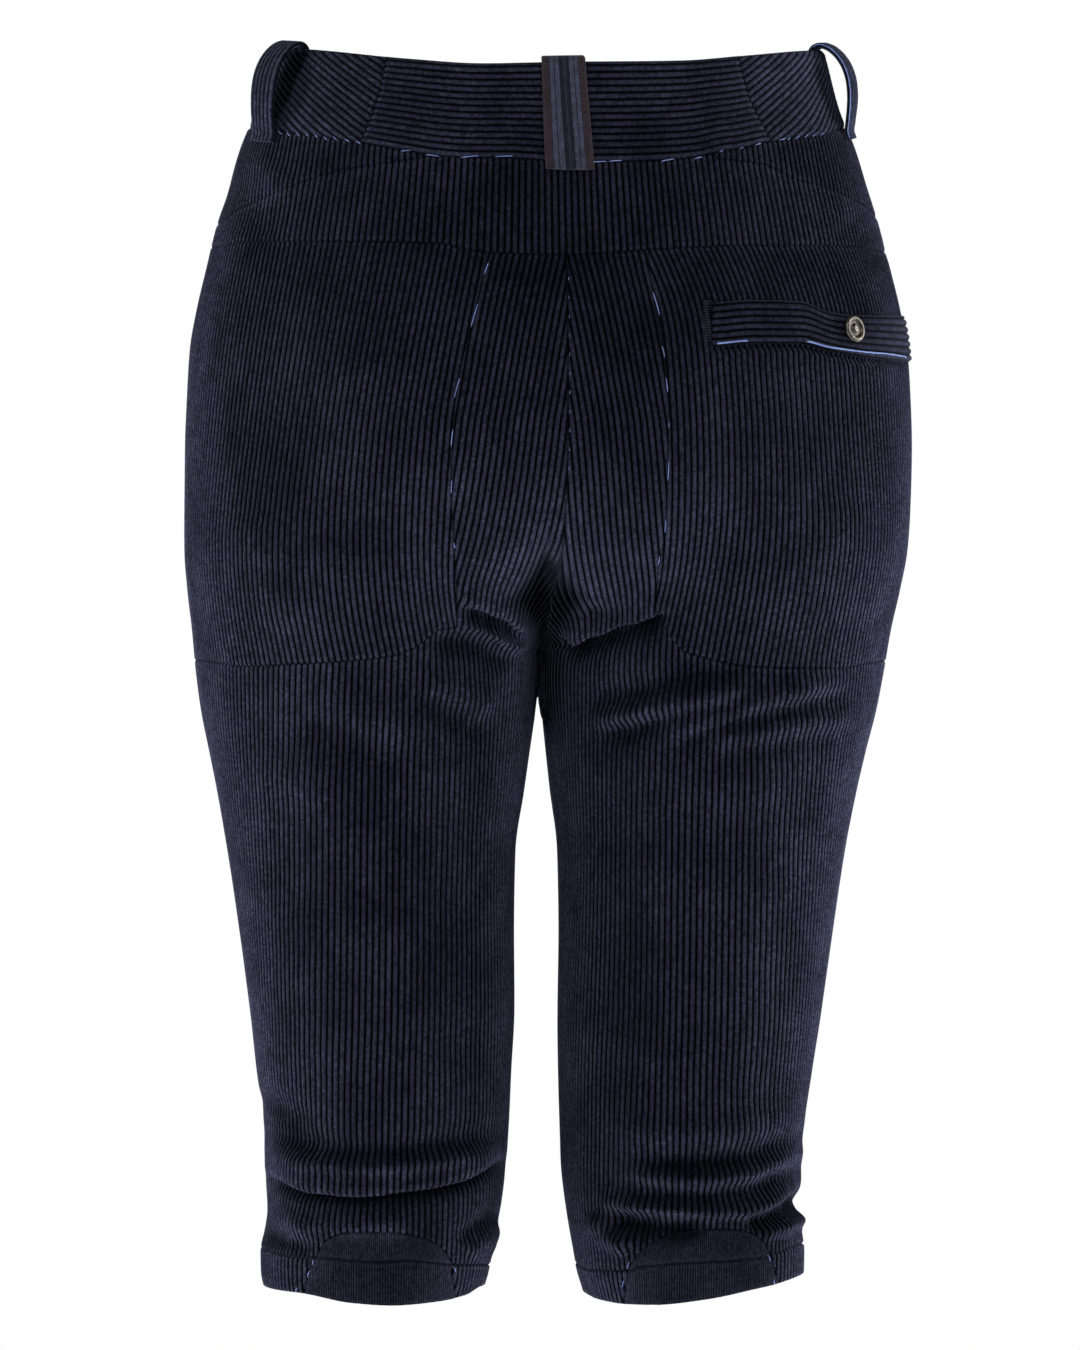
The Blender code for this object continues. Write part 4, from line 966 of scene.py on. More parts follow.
# ---------------------------------------------------------------- materials
class Nodes:
    """A material's nodes, made by short calls."""

    def __init__(self, name):
        self.m = bpy.data.materials.new(name)
        self.m.use_nodes = True
        self.t = self.m.node_tree
        self.bsdf = self.t.nodes["Principled BSDF"]

    def new(self, kind, **kw):
        n = self.t.nodes.new(kind)
        for k, v in kw.items():
            setattr(n, k, v)
        return n

    def link(self, a, b):
        self.t.links.new(a, b)

    def attr(self, name):
        return self.new("ShaderNodeAttribute", attribute_name=name).outputs["Fac"]

    def where(self):
        return self.new("ShaderNodeTexCoord").outputs["Object"]

    def noise(self, scale, detail=3.0, rough=0.55, at=None, stretch=None):
        n = self.new("ShaderNodeTexNoise")
        n.inputs["Scale"].default_value = scale
        n.inputs["Detail"].default_value = detail
        n.inputs["Roughness"].default_value = rough
        at = at if at is not None else self.where()
        if stretch:
            m = self.new("ShaderNodeMapping")
            m.inputs["Scale"].default_value = stretch
            self.link(at, m.inputs["Vector"])
            at = m.outputs["Vector"]
        self.link(at, n.inputs["Vector"])
        return n.outputs["Fac"]

    def math(self, op, a, b=0.0, c=0.0):
        n = self.new("ShaderNodeMath", operation=op)
        for i, v in enumerate((a, b, c)):
            if isinstance(v, (int, float)):
                n.inputs[i].default_value = v
            else:
                self.link(v, n.inputs[i])
        return n.outputs[0]

    def ramp(self, value, a, b, lo=0.0, hi=1.0):
        n = self.new("ShaderNodeMapRange", interpolation_type="SMOOTHSTEP")
        self.link(value, n.inputs["Value"])
        for k, v in (("From Min", a), ("From Max", b), ("To Min", lo), ("To Max", hi)):
            n.inputs[k].default_value = v
        return n.outputs["Result"]

    def mix(self, f, a, b):
        n = self.new("ShaderNodeMix", data_type="RGBA")
        for k, v in ((0, f), (6, a), (7, b)):
            if isinstance(v, (int, float)):
                n.inputs[k].default_value = v
            elif isinstance(v, tuple):
                n.inputs[k].default_value = (*v, 1)
            else:
                self.link(v, n.inputs[k])
        return n.outputs[2]

    def scaled(self, colour, by):
        n = self.new("ShaderNodeVectorMath", operation="SCALE")
        self.link(colour, n.inputs[0])
        if isinstance(by, (int, float)):
            n.inputs["Scale"].default_value = by
        else:
            self.link(by, n.inputs["Scale"])
        return n.outputs[0]

    def bump(self, height, strength, distance, normal=None):
        n = self.new("ShaderNodeBump")
        n.inputs["Strength"].default_value = strength
        n.inputs["Distance"].default_value = distance
        self.link(height, n.inputs["Height"])
        if normal is not None:
            self.link(normal, n.inputs["Normal"])
        return n.outputs["Normal"]


# valley is the painted shade colour given to the valleys between the wales
def corduroy(name, valley, back, sheen, speck=1.0):
    k = Nodes(name)
    b = k.bsdf
    rib, edge, inner = k.attr("rib"), k.attr("edge"), k.attr("inner")
    # the pile lies a little differently from wale to wale and along each one
    per_wale = k.new("ShaderNodeTexWhiteNoise", noise_dimensions="1D")
    k.link(k.attr("wale"), per_wale.inputs["W"])
    run = k.new("ShaderNodeCombineXYZ")
    k.link(k.math("MULTIPLY", k.attr("wale"), 3.7), run.inputs[0])
    k.link(k.math("MULTIPLY", k.attr("along"), 0.16), run.inputs[1])
    streak = k.noise(1.0, 3.0, 0.6, at=run.outputs[0])
    crushed = k.noise(26.0, 4.0, 0.6)
    broad = k.noise(9.0, 2.0, 0.5)
    nap = k.noise(1500.0, 2.0, 0.7)
    tuft = k.noise(620.0, 2.0, 0.6)
    light = k.math("ADD", k.ramp(crushed, 0.3, 0.72, 0.72, 1.3), k.ramp(broad, 0.3, 0.7, -0.12, 0.14))
    light = k.math("MULTIPLY", light, k.math("MULTIPLY_ADD", per_wale.outputs["Value"], 0.16, 0.92))
    light = k.math("MULTIPLY", light, k.ramp(streak, 0.25, 0.75, 0.82, 1.2))
    light = k.math("MULTIPLY", light, k.ramp(tuft, 0.28, 0.72, 1 - 0.5 * speck, 1 + 0.52 * speck))
    light = k.math("MULTIPLY", light, k.ramp(nap, 0.25, 0.75, 1 - 0.42 * speck, 1 + 0.46 * speck))
    # painted shade: the pile is darkened in the hollow at the fork and beside the two side loops
    light = k.math("MULTIPLY", light, k.ramp(k.attr("painted_shade"), 0.12, 0.62, 1.0, 0.03))
    # painted light and shade: paler where the cloth faces down and sideways, darker in fold troughs
    light = k.math("MULTIPLY", light, k.attr("pale"))
    # worn paler on seam edges, dark down in the seam
    light = k.math("MULTIPLY", light, k.ramp(edge, 0.0, 0.5, 0.5, 1.0))
    light = k.math("MULTIPLY", light, k.ramp(k.math("ABSOLUTE", k.math("SUBTRACT", edge, 1.7)), 0.0, 1.3, 1.22, 1.0))
    # painted shade: the valleys between the wales take the far darker valley colour
    pile = k.mix(k.ramp(rib, 0.30, 1.0), valley, back)
    lint = k.ramp(k.noise(900.0, 1.0, 0.4), 0.735, 0.80)
    pile = k.mix(k.math("MULTIPLY", lint, 0.35), pile, (0.05, 0.055, 0.08))
    weave_at = k.where()
    reverse = k.mix(k.noise(1100.0, 2.0, 0.5, at=weave_at), tuple(0.55 * c for c in back), tuple(1.25 * c for c in back))
    colour = k.mix(inner, k.scaled(pile, light), reverse)
    k.link(colour, b.inputs["Base Color"])
    k.link(k.ramp(crushed, 0.2, 0.8, 0.98, 0.82), b.inputs["Roughness"])
    b.inputs["Specular IOR Level"].default_value = 0.02
    b.inputs["Sheen Weight"].default_value = sheen
    b.inputs["Sheen Roughness"].default_value = 0.3
    b.inputs["Sheen Tint"].default_value = (0.62, 0.68, 1.0, 1)
    n = k.bump(tuft, 0.5, 0.0006)
    n = k.bump(nap, 0.6, 0.00025, n)
    k.link(n, b.inputs["Normal"])
    return k.m


def webbing(name):
    """Woven tape: brown edges, grey flanks, a navy middle, with dark lines between."""
    k = Nodes(name)
    b = k.bsdf
    across, along = k.attr("across"), k.attr("along")
    d = k.math("ABSOLUTE", across)
    # rows of the weave, slanted left and right of each other
    rows = k.math("SINE", k.math("ADD", k.math("MULTIPLY", along, 9.0), k.math("MULTIPLY", across, 7.5)))
    rows2 = k.math("SINE", k.math("SUBTRACT", k.math("MULTIPLY", along, 9.0), k.math("MULTIPLY", across, 7.5)))
    weft = k.math("MULTIPLY", k.math("ADD", rows, 1.0), 0.5)
    weft2 = k.math("MULTIPLY", k.math("ADD", rows2, 1.0), 0.5)
    weave = k.math("MAXIMUM", weft, weft2)
    fuzz = k.noise(1700.0, 3.0, 0.65)
    blotch = k.noise(260.0, 2.0, 0.6)
    edge = k.ramp(d, 6.55, 6.95)
    grey = k.math("MULTIPLY", k.ramp(d, 1.75, 2.05), k.ramp(d, 6.6, 6.3))
    line = k.math("MAXIMUM",
                  k.ramp(k.math("ABSOLUTE", k.math("SUBTRACT", d, 1.75)), 0.55, 0.2),
                  k.ramp(k.math("ABSOLUTE", k.math("SUBTRACT", d, 4.3)), 0.4, 0.12))
    middle = k.ramp(d, 0.45, 0.2)
    colour = k.mix(grey, (0.010, 0.012, 0.026), (0.060, 0.068, 0.110))
    colour = k.mix(edge, colour, (0.034, 0.023, 0.030))
    colour = k.mix(k.math("MULTIPLY", line, 0.85), colour, (0.006, 0.007, 0.016))
    colour = k.mix(k.math("MULTIPLY", middle, 0.8), colour, (0.03, 0.036, 0.062))
    light = k.math("MULTIPLY", k.ramp(fuzz, 0.3, 0.7, 0.5, 1.65), k.ramp(weave, 0.25, 1.0, 0.4, 1.2))
    light = k.math("MULTIPLY", light, k.ramp(blotch, 0.3, 0.7, 0.8, 1.25))
    k.link(k.scaled(colour, light), b.inputs["Base Color"])
    b.inputs["Roughness"].default_value = 0.85
    b.inputs["Specular IOR Level"].default_value = 0.12
    b.inputs["Sheen Weight"].default_value = 0.12
    b.inputs["Sheen Roughness"].default_value = 0.5
    n = k.bump(weave, 0.7, 0.0004)
    n = k.bump(fuzz, 0.4, 0.0002, n)
    k.link(n, b.inputs["Normal"])
    return k.m


def thread(name, colour, other):
    k = Nodes(name)
    b = k.bsdf
    f = k.noise(2600.0, 3.0, 0.6)
    g = k.noise(160.0, 2.0, 0.6)
    c = k.mix(k.ramp(g, 0.3, 0.7), other, colour)
    k.link(k.scaled(c, k.ramp(f, 0.3, 0.7, 0.72, 1.2)), b.inputs["Base Color"])
    b.inputs["Roughness"].default_value = 0.6
    b.inputs["Specular IOR Level"].default_value = 0.25
    b.inputs["Sheen Weight"].default_value = 0.15
    k.link(k.bump(f, 0.5, 0.0001), b.inputs["Normal"])
    return k.m


def aged_metal(name):
    k = Nodes(name)
    b = k.bsdf
    r = k.attr("radius")
    patina = k.noise(420.0, 4.0, 0.65)
    fine = k.noise(2400.0, 2.0, 0.5)
    dish = k.math("MULTIPLY", k.ramp(r, 5.2, 4.4), k.ramp(r, 1.0, 2.2))
    c = k.mix(k.ramp(patina, 0.32, 0.7), (0.055, 0.048, 0.040), (0.16, 0.145, 0.125))
    c = k.mix(k.math("MULTIPLY", dish, 0.55), c, (0.03, 0.026, 0.023))
    k.link(c, b.inputs["Base Color"])
    b.inputs["Metallic"].default_value = 1.0
    k.link(k.ramp(patina, 0.3, 0.75, 0.42, 0.26), b.inputs["Roughness"])
    k.link(k.bump(fine, 0.25, 0.0001, k.bump(patina, 0.3, 0.0003)), b.inputs["Normal"])
    return k.m


CORD = corduroy("navy_corduroy", (0.0006, 0.0006, 0.0012), (0.0186, 0.0198, 0.0352), 0.15)
YOKE_CORD = corduroy("yoke_corduroy", (0.0008, 0.0008, 0.0015), (0.0230, 0.0245, 0.0436), 0.15)
BAND_CORD = corduroy("waistband_corduroy", (0.0016, 0.0017, 0.0032), (0.0250, 0.0265, 0.0470), 0.15)
SIDE_CORD = corduroy("slanted_corduroy", (0.0042, 0.0045, 0.0080), (0.0300, 0.0335, 0.0580), 0.15)
FINE = corduroy("fine_cord", (0.0050, 0.0053, 0.0090), (0.0200, 0.0215, 0.0370), 0.15, speck=0.8)
WEB = webbing("striped_webbing")
BLUE = thread("light_blue_thread", (0.30, 0.42, 0.86), (0.18, 0.25, 0.62))
NAVY_THREAD = thread("navy_thread", (0.020, 0.022, 0.038), (0.012, 0.013, 0.024))
METAL = aged_metal("aged_metal")


def find_levels(t, line):
    """The levels at ring places where the cloth crosses a line drawn across the elevation."""
    t = np.asarray(t, float)
    side, q = ring_place(t)
    level = np.full(t.shape, -20.0)
    for _ in range(8):
        ex, ez = elevation(bare(side, q, level))
        level = level + (line(ex) - ez)
    return level


# ---------------------------------------------------------------- cut pieces
BAND_WALES = 14.6
BAND_SLANT = math.radians(26)
side_rows = {
    "upper": spread_rows([(36, 3.5), (-16, 3.0), (-140, 3.0)]),
    "seat": spread_rows([(-16, 3.5), (-112, 3.5), (-240, 2.5), (-292, 2.5)]),
    "seat_r": spread_rows([(-16, 3.5), (-112, 1.3), (-128, 3.5), (-240, 2.5), (-292, 2.5)]),
    "leg": spread_rows([(-56, 4.0), (-228, 2.2), (-330, 4.2), (-484, 2.4), (-520, 1.2), (-562, 2.2), (-606, 2.2)]),
    "front": spread_rows([(4, 4.5), (-196, 3.5), (-262, 5.0), (-492, 2.6), (-562, 3.0), (-606, 3.0)]),
    "low": spread_rows([(-552, 2.0), (-616, 2.0)]),
}
TILT = {
    ("seat", 1): lean([(-20, 12), (-70, 13), (-110, 12), (-145, 10), (-175, 5), (-205, 0), (-235, -8), (-265, -14), (-320, -14)]),
    ("seat", -1): lean([(-20, 26), (-75, 26), (-95, 20), (-112, 10), (-130, 5), (-185, 3), (-205, 0), (-235, -4), (-265, -8), (-320, -8)]),
    ("leg", 1): lean([(-20, 14), (-90, 14), (-130, 10), (-170, 10), (-215, 9), (-245, 5), (-270, 0), (-640, 0)]),
    ("leg", -1): lean([(-20, 14), (-90, 13), (-130, 10), (-170, 10), (-215, 9), (-245, 5), (-270, 0), (-640, 0)]),
    ("front", 1): lean([(60, 6), (-60, 5), (-160, 3), (-230, 0), (-640, 0)]),
    ("front", -1): lean([(60, 6), (-60, 5), (-160, 3), (-230, 0), (-640, 0)]),
}


def band_place(U, R):
    t = R
    low, top = find_levels(R[0], waist_line), find_levels(R[0], top_line)
    return t, low[None, :] + (top - low)[None, :] * U / BAND_WALES


def slanted(side):
    T, run, _, _ = ring_length(side, 0, beyond=True)
    high = 44.5
    start = 78.0

    def place(U, R):
        a = start + (R * high * math.cos(BAND_SLANT) - U * PITCH) / math.sin(BAND_SLANT)
        t = side * np.minimum(np.interp(a, run, T), 2.0 if side > 0 else 2.16)
        grid = np.linspace(0, 2.2, 260) * side
        grid[0] = side * 1e-9
        low, top = find_levels(grid, waist_line), find_levels(grid, top_line)
        l0, l1 = np.interp(np.abs(t), np.abs(grid), low), np.interp(np.abs(t), np.abs(grid), top)
        return t, l0 + (l1 - l0) * R
    return place


def build_cloth():
    made = {}

    def keep(name, ob):
        made[name] = ob
        return ob

    def upper_edges(f):
        return [(f["over_waist"], True), (f["under_top"], True)]

    # waistband, back: wales along it
    ts = np.linspace(-0.62, 0.62, 96)
    keep("waistband_back", piece(
        "waistband_back_cloth", wales(-1, BAND_WALES + 1), ts, band_place,
        lambda t, l, f, U, R: [(f["over_waist"], False), (f["under_top"], False), (-f["outside_mitre"], True)],
        BAND_CORD, uv_scale=(PITCH, 225.0), roll=1.3, roll_reach=3.0))
    for side, tag in ((1, "l"), (-1, "r")):
        last = 2.0 if side > 0 else 2.15
        T, run, _, _ = ring_length(side, 0, beyond=True)
        total = float(np.interp(last, T, run)) - 78.0
        first = -total * math.sin(BAND_SLANT) / PITCH - 1
        end = (44.5 * math.cos(BAND_SLANT) + 12 * math.sin(BAND_SLANT)) / PITCH + 1

        def inside(t, l, f, U, R, side=side):
            v = [(f["over_waist"], True), (f["under_top"], True), (f["outside_mitre"], False)]
            v.append((f["from_front"], False) if side > 0 else ((t + 2.13) * 215, False))
            return v
        keep(f"waistband_side_{tag}", piece(
            f"waistband_side_{tag}_cloth", wales(first, end), np.linspace(-0.04, 1.04, 21), slanted(side),
            inside, SIDE_CORD, uv_scale=(PITCH, 80.0), roll=1.3, roll_reach=3.0,
            extra=None if side > 0 else (lambda t, l, f: LAP * step(-t, 1.85, 1.93))))

    # back yoke and hips
    n = 245 / PITCH
    keep("yoke_back", piece(
        "yoke_back_cloth", wales(-n, n), side_rows["upper"], fanned(0.0015, -48),
        lambda t, l, f, U, R: [(-f["over_waist"], True), (-f["over_hip"], True), (f["over_yoke"], True),
                               (f["behind_side"], False)], YOKE_CORD))
    for side, tag in ((1, "l"), (-1, "r")):
        keep(f"hip_{tag}", piece(
            f"hip_{tag}_cloth", wales(20 / PITCH, 400 / PITCH) * 1.0 if side > 0 else wales(-400 / PITCH, -20 / PITCH),
            side_rows["upper"], fanned(0.0011, -48),
            lambda t, l, f, U, R: [(-f["over_waist"], True), (f["over_hip"], True), (f["from_front"], False)], CORD))

        # seats
        rows = side_rows["seat" if side > 0 else "seat_r"]
        tilt = TILT["seat", side]
        lo, hi = span(side, rows, 0.05, SIDE_SEAM, tilt)

        def mouth(t, l, f):
            """The pocket's mouth under the flap, and the welt below it."""
            ax, ez = f["ax"], f["ez"]
            low = flap_low(ax)
            across = step(ax, 80, 84) * step(ax, 181, 176)
            slit = -2.4 * np.exp(-((ez - (low - 0.6)) / 1.7) ** 2)
            welt = 0.7 * np.exp(-((ez - (low - 4.6)) / 2.2) ** 2) * step(ax, 146, 132)
            return across * (slit + welt)
        keep(f"seat_{tag}", piece(
            f"seat_{tag}_cloth", wales(lo, hi), rows, upright(side, tilt),
            lambda t, l, f, U, R: [(-f["over_yoke"], True), (-f["over_hip"], True), (f["behind_side"], False),
                                   (-f["back_leg"], True)], CORD,
            extra=mouth if side < 0 else None))

        # back legs, with their strips up the centre back
        rows = side_rows["leg"]
        tilt = TILT["leg", side]
        lo, hi = span(side, rows, 0.0, SIDE_SEAM, tilt)
        keep(f"back_leg_{tag}", piece(
            f"back_leg_{tag}_cloth", wales(lo, hi), rows, upright(side, tilt),
            lambda t, l, f, U, R: [(-f["over_yoke"], True), (f["behind_side"], False), (f["back_leg"], True),
                                   (f["over_cuff"], True), (-f["under_arch"], True), (f["from_back"], False)], CORD))

        # fronts
        rows = side_rows["front"]
        tilt = TILT["front", side]
        lo, hi = span(side, rows, SIDE_SEAM, 2.0, tilt, "front")
        keep(f"front_{tag}", piece(
            f"front_{tag}_cloth", wales(lo, hi, PHASE[[0, 1, 2, 4, 5]]), rows, upright(side, tilt, "front"),
            lambda t, l, f, U, R: [(-f["over_waist"], True), (-f["over_hip"], True), (-f["behind_side"], False),
                                   (f["over_cuff"], True), (f["from_front"], False)], CORD))

        # knee bands, from the insert round the front and across the inseam
        rows = side_rows["low"]
        tilt = TILT["leg", side]
        lo, hi = span(side, rows, 0.55, 0.45, tilt, over=1.0)
        keep(f"cuff_{tag}", piece(
            f"cuff_{tag}_cloth", wales(lo, hi), rows, upright(side, tilt, around=True),
            lambda t, l, f, U, R: [(-f["over_cuff"], True), (f["over_hem"], True), (-f["in_insert"], False)],
            CORD, roll=1.1))
        fine = PITCH / 1.3
        keep(f"cuff_insert_{tag}", piece(
            f"cuff_insert_{tag}_cloth", wales(-26 * fine, 26 * fine, np.array([0, .2, .5, .8])), rows,
            finer(upright(side, tilt), fine),
            lambda t, l, f, U, R: [(-f["over_cuff"], True), (f["over_hem"], True), (f["in_insert"], False)],
            FINE, rib=0.34, uv_scale=(1.3, 1.0), coarse=5, roll=0.9))
        finest = PITCH / 0.95
        keep(f"knee_gusset_{tag}", piece(
            f"knee_gusset_{tag}_cloth", wales(-24 * finest, 24 * finest, np.array([0, .2, .5, .8])),
            spread_rows([(-552, 1.6), (-584, 1.6)]), finer(upright(side, tilt), finest),
            lambda t, l, f, U, R: [(f["over_cuff"], True), (f["under_arch"], True)],
            FINE, rib=0.26, uv_scale=(0.95, 1.0), coarse=6, roll=0.9,
            extra=lambda t, l, f: 0.9 * step(f["under_arch"], 0, 5) * step(f["over_cuff"], 0, 5)))

    # fly placket
    lo, hi = span(-1, [-20, -80, -150], 1.60, 2.05, TILT["front", -1], "front", True)
    keep("fly", piece(
        "fly_cloth", wales(lo, hi, PHASE[[0, 1, 2, 4, 5]]), spread_rows([(-4, 4.0), (-176, 4.0)]),
        upright(-1, TILT["front", -1], "front", True),
        lambda t, l, f, U, R: [(-f["over_waist"] - 0.6, True), (f["ez"] - fly_line(f["ax"]), True),
                               ((t + 2.035) * 220, False)], CORD, lift=1.8, thick=1.5))

    # pocket flap: wales along it
    def flap_place(U, R):
        low = find_levels(R[0], lambda ex: flap_low(-ex))
        top = find_levels(R[0], lambda ex: flap_top(-ex))
        return R, low[None, :] + (top - low)[None, :] * U / 6.5
    keep("pocket_flap", piece(
        "pocket_flap_cloth", wales(-1, 7.5), -np.linspace(0.19, 1.03, 60), flap_place,
        lambda t, l, f, U, R: [(flap_top(f["ax"]) - f["ez"], False), (f["ez"] - flap_low(f["ax"]), False),
                               (f["ax"] - FLAP_IN, True), ((t - FLAP_OUT) * 200, True)],
        CORD, lift=2.6, thick=2.0, roll=1.1, coarse=1, uv_scale=(PITCH, 230.0),
        extra=lambda t, l, f: -1.4 * step(t, -0.84, -0.965)))
    return made


def finer(place, times):
    return lambda U, R: place(U / times, R)


# ---------------------------------------------------------------- belt loops
LoopRow = namedtuple("LoopRow", "off high")
PROUD_LOOP = [LoopRow(0.0, -6), LoopRow(0.3, -2.5), LoopRow(3.0, 2.5), LoopRow(6.6, 10), LoopRow(9.0, 19), LoopRow(9.6, 27),
              LoopRow(8.4, 34.5), LoopRow(6.0, 40), LoopRow(3.2, 43.6), LoopRow(0.2, 45.4), LoopRow(-2.2, 44.8), LoopRow(-3.2, 42)]
FLAT_LOOP = [LoopRow(1.2, -5), LoopRow(1.2, 0), LoopRow(1.7, 10), LoopRow(2.2, 20), LoopRow(2.2, 30),
             LoopRow(1.8, 40), LoopRow(1.2, 45.6), LoopRow(-1.6, 46.8)]


def through(points, n):
    """A smooth path through points, n places evenly along it."""
    p = np.array(points, float)
    d = np.concatenate([[0], np.cumsum(np.linalg.norm(np.diff(p, axis=0), axis=1))])
    m = np.gradient(p, d, axis=0)
    s = np.linspace(0, d[-1], n)
    i = np.clip(np.searchsorted(d, s, side="right") - 1, 0, len(d) - 2)
    h = d[i + 1] - d[i]
    t = ((s - d[i]) / h)[:, None]
    h = h[:, None]
    return ((1 + 2 * t) * (1 - t) ** 2 * p[i] + t * (1 - t) ** 2 * h * m[i]
            + t * t * (3 - 2 * t) * p[i + 1] + t * t * (t - 1) * h * m[i + 1]), s


RIMS = {}


def strap(name, t0, rows, material, lean_by=0.0, wide=21.0, thick=2.6, ribs=6, rib=0.6, n=72, raise_at=0.0, base=0.25):
    """A sewn-on strip: a closed band whose outside has wales along it."""
    T, run, _, _ = ring_length(1 if t0 > 0 else -1, 0, beyond=True)
    per = float(np.interp(abs(t0) + .01, T, run) - np.interp(abs(t0) - .01, T, run)) / 0.02
    path, s = through([(r.off, r.high) for r in rows], n)
    slope = np.gradient(path, s, axis=0)
    slope /= np.linalg.norm(slope, axis=1, keepdims=True)
    out_off, out_high = slope[:, 1], -slope[:, 0]
    # around the band: outside, edge, inside, edge
    k = max(ribs * 6, 28)
    w = np.linspace(-1, 1, k + 1)
    face = rib * (wale_profile((w + 1) / 2 * ribs) - 0.6) if ribs else 0 * w
    body = thick / 2 * np.sqrt(np.clip(1 - ((np.abs(w) - (1 - thick / wide)) / (thick / wide)).clip(0, 1) ** 2, 0, 1))
    outer = np.stack([w * wide / 2, body + face * step(1 - np.abs(w), 0, .08)], 1)
    inner = np.stack([w[::-4] * wide / 2, -body[::-4]], 1)[1:-1]
    ring = np.concatenate([outer, inner])
    across = ring[:, 0]
    high = path[:, 1]
    tt = t0 + (across[None, :] + lean_by * (high[:, None] / 45.0)) / per
    grid = np.linspace(abs(t0) - .2, abs(t0) + .2, 60)
    sgn = 1 if t0 > 0 else -1
    if abs(t0) < 0.2:
        grid = np.linspace(-.2, .2, 60)
        sgn = 1
    low, top = find_levels(grid * sgn, waist_line), find_levels(grid * sgn, top_line)
    order = np.argsort(grid * sgn)
    l0 = np.interp(tt, (grid * sgn)[order], low[order])
    l1 = np.interp(tt, (grid * sgn)[order], top[order])
    h = high[:, None]
    level = l0 + (l1 - l0) * np.clip(h, 0, 45) / 45 + np.minimum(h, 0) + np.maximum(h - 45, 0)
    p, nn = lookup(tt, level)
    q, _ = lookup(tt, level + 1.0)
    rise = (q - p) / np.linalg.norm(q - p, axis=-1, keepdims=True)
    up = nn * out_off[:, None, None] + rise * out_high[:, None, None]
    off = path[:, 0][:, None, None] + base + raise_at
    pts = p + nn * off + up * (thick / 2 + ring[:, 1])[None, :, None]
    RIMS[name] = (pts[:, 0] + pts[:, 1]) / 2, (pts[:, k] + pts[:, k - 1]) / 2, nn[:, k // 2]
    m = len(ring)
    # the two ends are each closed by one face
    verts = pts.reshape(-1, 3)
    faces = []
    idx = np.arange(n * m).reshape(n, m)
    a, b = idx[:-1], idx[1:]
    faces = np.stack([a, np.roll(a, -1, 1), np.roll(b, -1, 1), b], -1).reshape(-1, 4)
    e = np.cross(verts[faces[:, 1]] - verts[faces[:, 0]], verts[faces[:, 3]] - verts[faces[:, 0]])
    mid = pts.mean(1, keepdims=True)
    away = (pts - mid).reshape(-1, 3)[faces[:, 0]]
    flip = (e * away).sum() < 0
    if flip:
        faces = faces[:, ::-1]
    k_out = len(outer)
    caps = []
    for r, turn in ((0, flip), (n - 1, not flip)):
        ids = idx[r]
        f = [int(x) for x in ids]
        f = f[::-1] if turn else f
        caps.append(f if True else f)
    around_len = np.concatenate([[0], np.cumsum(np.linalg.norm(np.diff(ring, axis=0), axis=1))])
    uv = np.stack([np.broadcast_to(around_len, (n, m)), np.broadcast_to(s[:, None], (n, m))], -1).reshape(-1, 2)
    # the last strip of faces wraps; give it places of its own
    wrap = np.zeros(len(faces), bool)
    wrap[np.arange(n - 1) * m + (m - 1)] = True
    uv_wrap = uv.copy()
    uv_wrap[idx[:, 0]] = np.stack([np.full(n, around_len[-1] + 1.0), s], 1)
    uv_cap = np.zeros((n * m, 2))
    uv_cap[idx[0]] = ring + [around_len[-1] + 14, 4]
    uv_cap[idx[-1]] = ring + [around_len[-1] + 14, 12]
    w_all = np.broadcast_to(ring[:, 0], (n, m)).ravel()
    is_out = np.zeros(m)
    is_out[:k_out] = 1
    attrs = dict(
        rib=np.where(np.broadcast_to(is_out, (n, m)).ravel() > 0, np.clip(wale_profile((w_all / wide * 2 + 1) / 2 * max(ribs, 1)), 0, 1), .5),
        edge=np.clip((wide / 2 - np.abs(w_all)) + 0.6, 0, 12),
        wale=np.floor((w_all / wide * 2 + 1) / 2 * max(ribs, 1)) + round(t0 * 50),
        along=np.broadcast_to(s[:, None], (n, m)).ravel().copy(),
        across=w_all.copy(),
        inner=np.broadcast_to(1 - is_out, (n, m)).ravel() * 0.5,
        pale=np.ones(n * m),
    )
    return solid(name, verts, [(faces[~wrap], uv), (faces[wrap], uv_wrap), (caps, uv_cap)], attrs, material)


# ---------------------------------------------------------------- threads
def tube_along(points, radii, sides, verts, faces, uvs, closed_caps=True):
    """Adds a round tube through points (mm), with a flat face closing each end."""
    p = np.array(points, float)
    n = len(p)
    tan = np.gradient(p, axis=0)
    tan /= np.maximum(np.linalg.norm(tan, axis=1, keepdims=True), 1e-9)
    ref = np.array([0.0, 0.0, 1.0]) if abs(tan[0][2]) < 0.9 else np.array([0.0, 1.0, 0.0])
    x = np.cross(tan, ref)
    x /= np.linalg.norm(x, axis=1, keepdims=True)
    y = np.cross(tan, x)
    a = np.arange(sides) * 2 * math.pi / sides
    base = len(verts)
    for i in range(n):
        ring = p[i] + radii[i] * (np.cos(a)[:, None] * x[i] + np.sin(a)[:, None] * y[i])
        verts.extend(ring.tolist())
        for k in range(sides):
            uvs.append((k * 0.4 + base * 0.002, i * 0.6))
    for i in range(n - 1):
        for k in range(sides):
            m = (k + 1) % sides
            faces.append((base + i * sides + k, base + (i + 1) * sides + k,
                          base + (i + 1) * sides + m, base + i * sides + m))
    faces.append([base + k for k in range(sides)])
    faces.append([base + (n - 1) * sides + k for k in range(sides)][::-1])


def px(side, x, y):
    """The outward distance and height, mm, of a place given on the elevation drawn at 2 to the mm."""
    return ((548 - x) / 2 * side, (110 - y) / 2)


